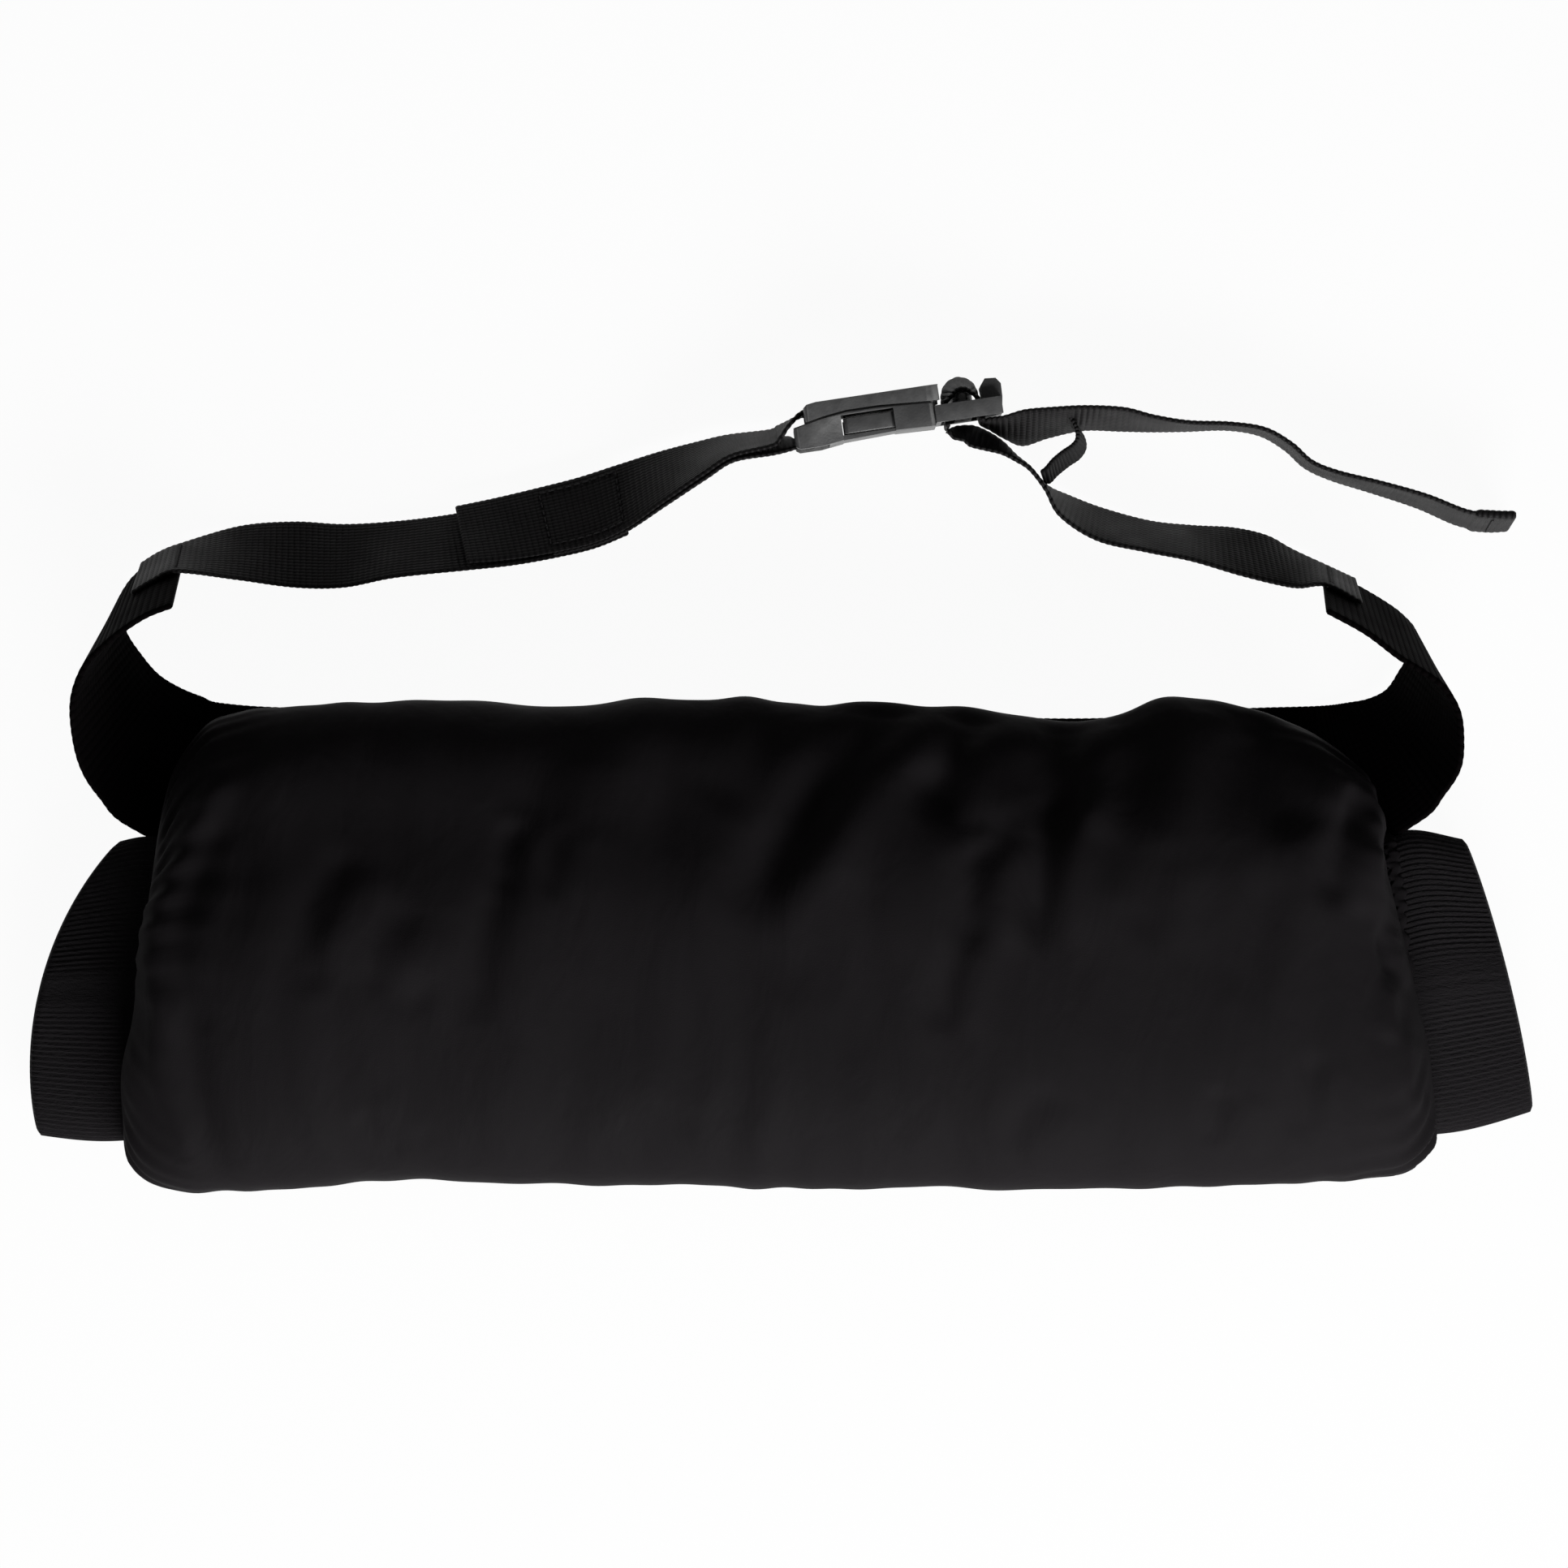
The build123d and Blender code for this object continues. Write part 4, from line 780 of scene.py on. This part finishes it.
def ribbonMesh(name, edges, thickness, look, sides=14, hem=0.0):
    # a flat round-edged profile carried along the edges, four rows to each rib; a hem thickens the far end
    feet, tops = edges
    rows = evenAlong(np.column_stack([(feet + tops) / 2, tops - feet]), look["ribPitch"] / 4)
    middle, spread = rows[:, :3], rows[:, 3:]
    width = np.linalg.norm(spread, axis=1, keepdims=True)
    rising = spread / width
    facing = unit(np.cross(np.gradient(middle, axis=0), rising))
    run = np.r_[0, np.cumsum(np.linalg.norm(np.diff(middle, axis=0), axis=1))]
    rib = look["ribHeight"] * np.abs(np.sin(pi * np.arange(len(rows)) / 4))
    half = thickness / 2 - look["ribHeight"] + hem * smoothStep((run - run[-1] + strap["hemLength"]) / 1.2)
    half[[0, -1]] *= 0.6
    flat = np.linspace(-1, 1, sides)
    arc = np.linspace(-pi / 2, pi / 2, 7)[1:-1]
    sideways = np.concatenate([flat, np.ones(5), flat[::-1], -np.ones(5)])
    bulge = np.concatenate([np.zeros(sides), np.cos(arc), np.zeros(sides), -np.cos(arc)])
    depth = np.concatenate([-np.ones(sides), np.sin(arc), np.ones(sides), -np.sin(arc)])
    reach = (half + rib)[:, None]
    over = (width - thickness) / 2 * sideways + reach * bulge
    grid = middle[:, None] + rising[:, None] * over[..., None] + facing[:, None] * (reach * depth)[..., None]
    uv = np.stack([np.broadcast_to(run[:, None], over.shape), over + 0.2 * depth], -1)
    return gridMesh(name, grid, uv)


def woven(name, edges, material, slot, body, node, look=webbingLook, thickness=strap["thickness"], **shape):
    # a ribbon in its own cloth, standing for its node
    return dress(ribbonMesh(name, edges, thickness, look, **shape), material, slot, body, node)


bandEdges = courseEdges(leftBandCourse[::-1] + bandMiddle + rightBandCourse, band["width"])
woven("waistBand", bandEdges, bandElastic, "band_elastic", "root", "waist_band", bandLook, band["thickness"],
      sides=26)

overBand = (band["thickness"] + strap["layer"]) / 2 + 0.05
bandInset = (strap["width"] - band["width"]) / 2
leftSewn = lifted(*courseEdges(leftBandCourse, band["width"]), -overBand, bandInset, strap["width"])
rightSewn = lifted(*courseEdges(rightBandCourse, band["width"]), overBand, bandInset, strap["width"])
leftRun = courseEdges(leftStrapCourse, strap["width"])
leftEdges = joined(part(leftSewn, -3, None), part(leftRun, 0, strap["overlapEnd"] + 1))
woven("leftStrap", leftEdges, strapWebbing, "webbing", "root", "left_strap")

front = lifted(*leftRun, -2 * strap["layer"])
back = lifted(*leftRun, -strap["layer"])
loopEdges = joined(part(front, strap["overlapStart"], None), buckleEdges(barLoop),
                   part(back, None, strap["stitchStart"] - 1, -1))
woven("buckleStrap", loopEdges, strapWebbing, "webbing", "root", "buckle_strap")

# the right strap and its keeper bend between the band and the sliding latch
rightRun = courseEdges(rightStrapCourse, strap["width"])
rightEdges = joined(part(rightSewn, -2, None), rightRun, buckleEdges(adjusterEntry))
rightStrap = woven("rightStrap", rightEdges, strapWebbing, "webbing", None, "right_strap")
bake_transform(rightStrap)

keeperEdges = courseEdges(keeperCourse, strap["keeperWidth"])
strapKeeper = woven("strapKeeper", keeperEdges, keeperElastic, "keeper_tape", None, "strap_keeper",
                    keeperLook, strap["keeperThickness"], sides=10)
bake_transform(strapKeeper)

tailEdges = joined(buckleEdges(adjusterRoll), courseEdges(tailCourse, strap["width"]))
woven("tailStrap", tailEdges, strapWebbing, "webbing", "latch", "tail_strap", hem=strap["hemExtra"])
print("band and straps woven")

# stitches: one small capsule each, flat against the cloth

thread = {"radius": 0.27, "pitch": 2.6, "length": 2.0, "lead": 0.15, "tackPitch": 0.62, "proud": 0.1,
          # a stitch's rings: share of its length, share of its radius
          "along": (0, 0.12, 0.5, 0.88, 1), "girth": (0.35, 0.85, 1, 0.85, 0.35), "sides": 6,
          # how far the box seams and the tacks reach from the strap's middle line, and the tacks' lengths
          "boxHalf": 9.8, "tackHalf": 9.4, "keeperHalf": 4.3, "bandTack": 1.9, "tipTack": 1.0,
          "keeperTack": 1.6}


def sewn(name, starts, ends, facing):
    # each capsule is rings of points between its two ends, sunk where it narrows
    run = ends - starts
    facing = unit(facing)
    side = unit(np.cross(facing, run))
    at, girth = np.array(thread["along"]), np.array(thread["girth"]) * thread["radius"]
    turn = np.linspace(0, 2 * pi, thread["sides"], endpoint=False)
    ring = side[:, None] * np.cos(turn)[None, :, None] + facing[:, None] * np.sin(turn)[None, :, None]
    sunk = facing[:, None] * (girth - thread["radius"])[None, :, None]
    spine = starts[:, None] + run[:, None] * at[None, :, None] + sunk
    verts = (spine[:, :, None] + ring[:, None] * girth[None, :, None, None]).reshape(-1, 3)
    count = len(at) * len(turn)
    quads = gridFaces(len(at), len(turn))
    caps = np.array([np.arange(len(turn))[::-1], np.arange(count - len(turn), count)])
    if enclosed(verts[:count] - verts[:count].mean(0), quads) < 0:
        quads, caps = quads[:, ::-1], caps[:, ::-1]
    first = count * np.arange(len(starts))[:, None, None]
    faces = (quads + first).reshape(-1, 4).tolist() + (caps + first).reshape(-1, len(turn)).tolist()
    length = np.linalg.norm(run, axis=1)[:, None, None]
    uv = np.stack(np.broadcast_arrays(length * at[None, :, None], turn * thread["radius"]), -1)
    return meshFrom(name, verts * mm, faces, uv.reshape(-1, 2) * mm)


def onSurface(edges, at, across, height):
    # points a distance across from the middle line and a height off the face, and the face's normals
    middle, spread = (edges[0] + edges[1]) / 2, edges[1] - edges[0]
    place, rising = throughPoints(middle, at), unit(throughPoints(spread, at))
    facing = unit(np.cross(throughPoints(middle, at + 0.01) - place, rising))
    return place + rising * across[:, None] + facing * height, facing * np.sign(height)


def seam(points, facing):
    # stitches of one length, one pitch apart, along a line of points
    run = np.r_[0, np.cumsum(np.linalg.norm(np.diff(points, axis=0), axis=1))]
    count = max(int(run[-1] / thread["pitch"]), 1)
    begin = np.linspace(0, run[-1], count + 1)[:-1] + thread["lead"]
    both = [np.column_stack([np.interp(at, run, column) for column in points.T])
            for at in (begin, begin + thread["length"])]
    return both[0], both[1], np.column_stack([np.interp(begin, run, column) for column in facing.T])


def tackBar(edges, at, halfWidth, height, length):
    # close stitches side by side across the strap, each running along it
    across = np.arange(-halfWidth, halfWidth + 0.01, thread["tackPitch"])
    middle, facing = onSurface(edges, np.full(len(across), float(at)), across, height)
    along = unit(np.cross(edges[1][int(at)] - edges[0][int(at)], facing))
    return middle - along * length / 2, middle + along * length / 2, facing


def boxSeams(corners, edges, height):
    # seams along the sides of a box given by places along the edges and distances across
    parts = []
    for (at0, across0), (at1, across1) in zip(corners, corners[1:] + corners[:1]):
        places = np.linspace(at0, at1, 24), np.linspace(across0, across1, 24)
        parts.append(seam(*onSurface(edges, *places, height)))
    return [np.vstack(group) for group in zip(*parts)]


def bandBox(middleX):
    # a stitched rectangle on the band's underside
    halfX, halfY = band["boxHalf"]
    x = middleX + np.array([-halfX, halfX, halfX, -halfX, -halfX])
    y = band["middleY"] + np.array([-halfY, -halfY, halfY, halfY, -halfY])
    corners = np.column_stack([x, y, np.full(5, thread["radius"] + 0.02)])
    sides = [np.linspace(a, b, 12) for a, b in zip(corners, corners[1:])]
    parts = [seam(side, np.tile([0.0, 0.0, -1.0], (12, 1))) for side in sides]
    return [np.vstack(group) for group in zip(*parts)]


def stitched(name, stitches, body, node):
    # stitches in thread, standing for their node
    return dress(sewn(name, *stitches), sewingThread, "thread", body, node)


faceHeight = strap["thickness"] / 2 + thread["proud"]
boxStart, boxEnd, boxHalf = strap["stitchStart"], strap["overlapEnd"], thread["boxHalf"]
boxCorners = [(boxStart, -boxHalf), (boxEnd, -boxHalf), (boxEnd, boxHalf), (boxStart, boxHalf)]
stitched("overlapStitches", boxSeams(boxCorners, front, -faceHeight), "root", "overlap_box_stitch")
for side, edges, facing in (("left", leftSewn, -1), ("right", rightSewn, 1)):
    tack = tackBar(edges, len(edges[0]) - 1.1, thread["tackHalf"], facing * faceHeight, thread["bandTack"])
    stitched(side + "TackStitches", tack, "root", side + "_band_tack")

tipHeight = faceHeight + strap["hemExtra"]
tipTack = tackBar(tailEdges, len(tailEdges[0]) - 2, thread["tackHalf"], tipHeight, thread["tipTack"])
stitched("tipStitches", tipTack, "latch", "tail_tack")

keeperHeight = -strap["keeperThickness"] / 2 - thread["proud"]
keeperTack = tackBar(keeperEdges, 0.5, thread["keeperHalf"], keeperHeight, thread["keeperTack"])
keeperStitches = stitched("keeperStitches", keeperTack, None, "keeper_tack")
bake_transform(keeperStitches)

for side, facing in (("left", -1), ("right", 1)):
    stitched(side + "BandStitches", bandBox(facing * band["boxX"]), "root", side + "_band_stitching")
print("seams sewn")

# the buckle: its own meshes with rounded edges

moulding = {
    "rounding": 0.35, "crisp": 30.0, "smoothBelow": 40.0,
    # below, u runs along the buckle, v across it and w up from its middle
    "overhang": 2.3, "overhangFrom": 42.0, "overhangOver": 1.5, "plateAcross": 2.3,
    "rollAlong": 53.2, "rollAcross": 2.2, "rollHalf": 4.4, "rollFace": 1.15, "rollFoot": 12.3,
    "rollTaper": 0.72,
    "endBar": (59.7, 60.6), "endBarMove": 0.45, "endBarHalf": 13.0, "tip": 1.6, "tipEnd": 19.0,
}


def overhung(u, v, w):
    # the plate's free end reaches a little past the body's
    reach = smoothStep((u - moulding["overhangFrom"]) / moulding["overhangOver"])
    return u + moulding["overhang"] * reach * (v > moulding["plateAcross"]), v


def tapered(u, v, w):
    # the bar that the strap is rolled on narrows towards its upper end, and the end bar comes close to it
    near, far = moulding["endBar"]
    u = u - moulding["endBarMove"] * ((u > near) & (u < far) & (np.abs(w) < moulding["endBarHalf"]))
    along, across, foot = moulding["rollAlong"], moulding["rollAcross"], moulding["rollFoot"]
    onRoll = (np.abs(u - along) < moulding["rollHalf"]) & (v > moulding["rollFace"])
    keep = 1 - onRoll * moulding["rollTaper"] * np.clip((w + foot) / (2 * foot), 0, 1)
    return along + (u - along) * keep, across + (v - across) * keep


def longer(u, v, w):
    # the prong's tip reaches on into its window
    return u - moulding["tip"] * smoothStep(moulding["tipEnd"] - u), v


def moulded(name, node, body, reshape):
    # the node's mesh, merged and cleared of lines inside flat faces, then every sharp edge rounded
    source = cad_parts[node]
    mesh = source.data.copy()
    mesh.transform(source.matrix_world)
    shape = bmesh.new()
    shape.from_mesh(mesh)
    bmesh.ops.remove_doubles(shape, verts=shape.verts, dist=1e-6)
    bmesh.ops.dissolve_limit(shape, angle_limit=radians(2), verts=shape.verts, edges=shape.edges)
    shape.to_mesh(mesh)
    shape.free()
    piece = linked(name, mesh)
    x, y, z = meshPoints(piece).T / mm
    x, y = toPlan(*reshape(*toBuckle(x, y), z - buckle["middleZ"]))
    movePoints(piece, np.column_stack([x, y, z]) * mm)
    bevel = piece.modifiers.new("rounding", "BEVEL")
    bevel.width = moulding["rounding"] * mm
    bevel.segments = 2
    bevel.limit_method = "ANGLE"
    bevel.angle_limit = radians(moulding["crisp"])
    modifiersApplied(piece)
    piece.data.polygons.foreach_set("use_smooth", [True] * len(piece.data.polygons))
    piece.data.set_sharp_from_angle(angle=radians(moulding["smoothBelow"]))
    return dress(piece, bucklePlastic, "buckle_plastic", body, node)


moulded("buckleHousing", "buckle_housing", "root", overhung)
moulded("latchFrame", "latch_frame", "latch", tapered)
moulded("upperProng", "latch_prong_upper", "prong_upper", longer)
moulded("lowerProng", "latch_prong_lower", "prong_lower", longer)
print("buckle moulded")

# floor, air, lamps and camera

studio = {
    "lookX": 0.002, "lookY": 0.050, "height": 2.50, "frameWidth": 0.487, "subjectZ": 0.03, "sensor": 36.0,
    "floorHalf": 4.0, "floorDrop": 0.0005, "paper": (0.8, 0.8, 0.8, 1), "glow": 0.95, "air": 0.07,
    "aim": (0, 0.05, 0),
    # each lamp's place, size and power
    "lamps": {"keyLamp": ((0.6, -1.65, 1.15), (1.6, 0.9), 72.0),
              "fillLamp": ((0.7, 0.9, 1.5), (1.0, 1.0), 0.8)},
}


def makeFloor():
    # pale paper that takes the shadow, and is near white to the camera and in reflections
    half, z = studio["floorHalf"], -studio["floorDrop"]
    corners = [(-half, -half, z), (half, -half, z), (half, half, z), (-half, half, z)]
    floor = meshFrom("studioFloor", corners, [(0, 1, 2, 3)], smooth=False)
    material = bpy.data.materials.new("studioPaper")
    material.use_nodes = True
    tree = material.node_tree
    tree.nodes.clear()
    output = addNode(tree, "OutputMaterial")
    rays = addNode(tree, "LightPath").outputs
    mirrored = addMath(tree, "MAXIMUM", rays["Is Glossy Ray"], rays["Is Transmission Ray"])
    seen = addMath(tree, "MAXIMUM", rays["Is Camera Ray"], mirrored)
    paper = addNode(tree, "BsdfDiffuse", {"Color": studio["paper"]})
    glow = addNode(tree, "Emission", {"Color": (1, 1, 1, 1), "Strength": 1.0})
    share = addMath(tree, "MULTIPLY", seen, studio["glow"])
    mixed = addNode(tree, "MixShader", {0: share, 1: paper.outputs[0], 2: glow.outputs[0]})
    tree.links.new(mixed.outputs[0], output.inputs[0])
    floor.data.materials.append(material)


def makeWorld():
    # white to the camera, and a faint even light on everything else
    world = bpy.data.worlds.new("studioAir")
    world.use_nodes = True
    tree = world.node_tree
    background = tree.nodes["Background"]
    background.inputs["Color"].default_value = (1, 1, 1, 1)
    seen = addNode(tree, "LightPath").outputs["Is Camera Ray"]
    strength = addNode(tree, "MapRange", {"Value": seen, "To Min": studio["air"], "To Max": 1.0})
    tree.links.new(strength.outputs[0], background.inputs["Strength"])
    bpy.context.scene.world = world


def addLamp(name, place, size, power):
    # a soft lamp that faces the point that the studio aims at
    light = bpy.data.lights.new(name, "AREA")
    light.shape = "RECTANGLE"
    light.size, light.size_y = size
    light.energy = power
    lamp = linked(name, light)
    lamp.location = place
    lamp.rotation_mode = "QUATERNION"
    lamp.rotation_quaternion = (Vector(studio["aim"]) - Vector(place)).to_track_quat("-Z", "Y")


def makeCamera():
    # straight down, with the frame's width in view at the subject's height
    data = bpy.data.cameras.new("camera")
    data.sensor_width = studio["sensor"]
    data.lens = studio["sensor"] * (studio["height"] - studio["subjectZ"]) / studio["frameWidth"]
    data.clip_start, data.clip_end = 0.1, 20
    camera = linked("camera", data)
    camera.location = (studio["lookX"], studio["lookY"], studio["height"])
    bpy.context.scene.camera = camera


makeFloor()
makeWorld()
for name, settings in studio["lamps"].items():
    addLamp(name, *settings)
makeCamera()
bpy.context.scene.view_settings.view_transform = "Standard"
print("studio made")
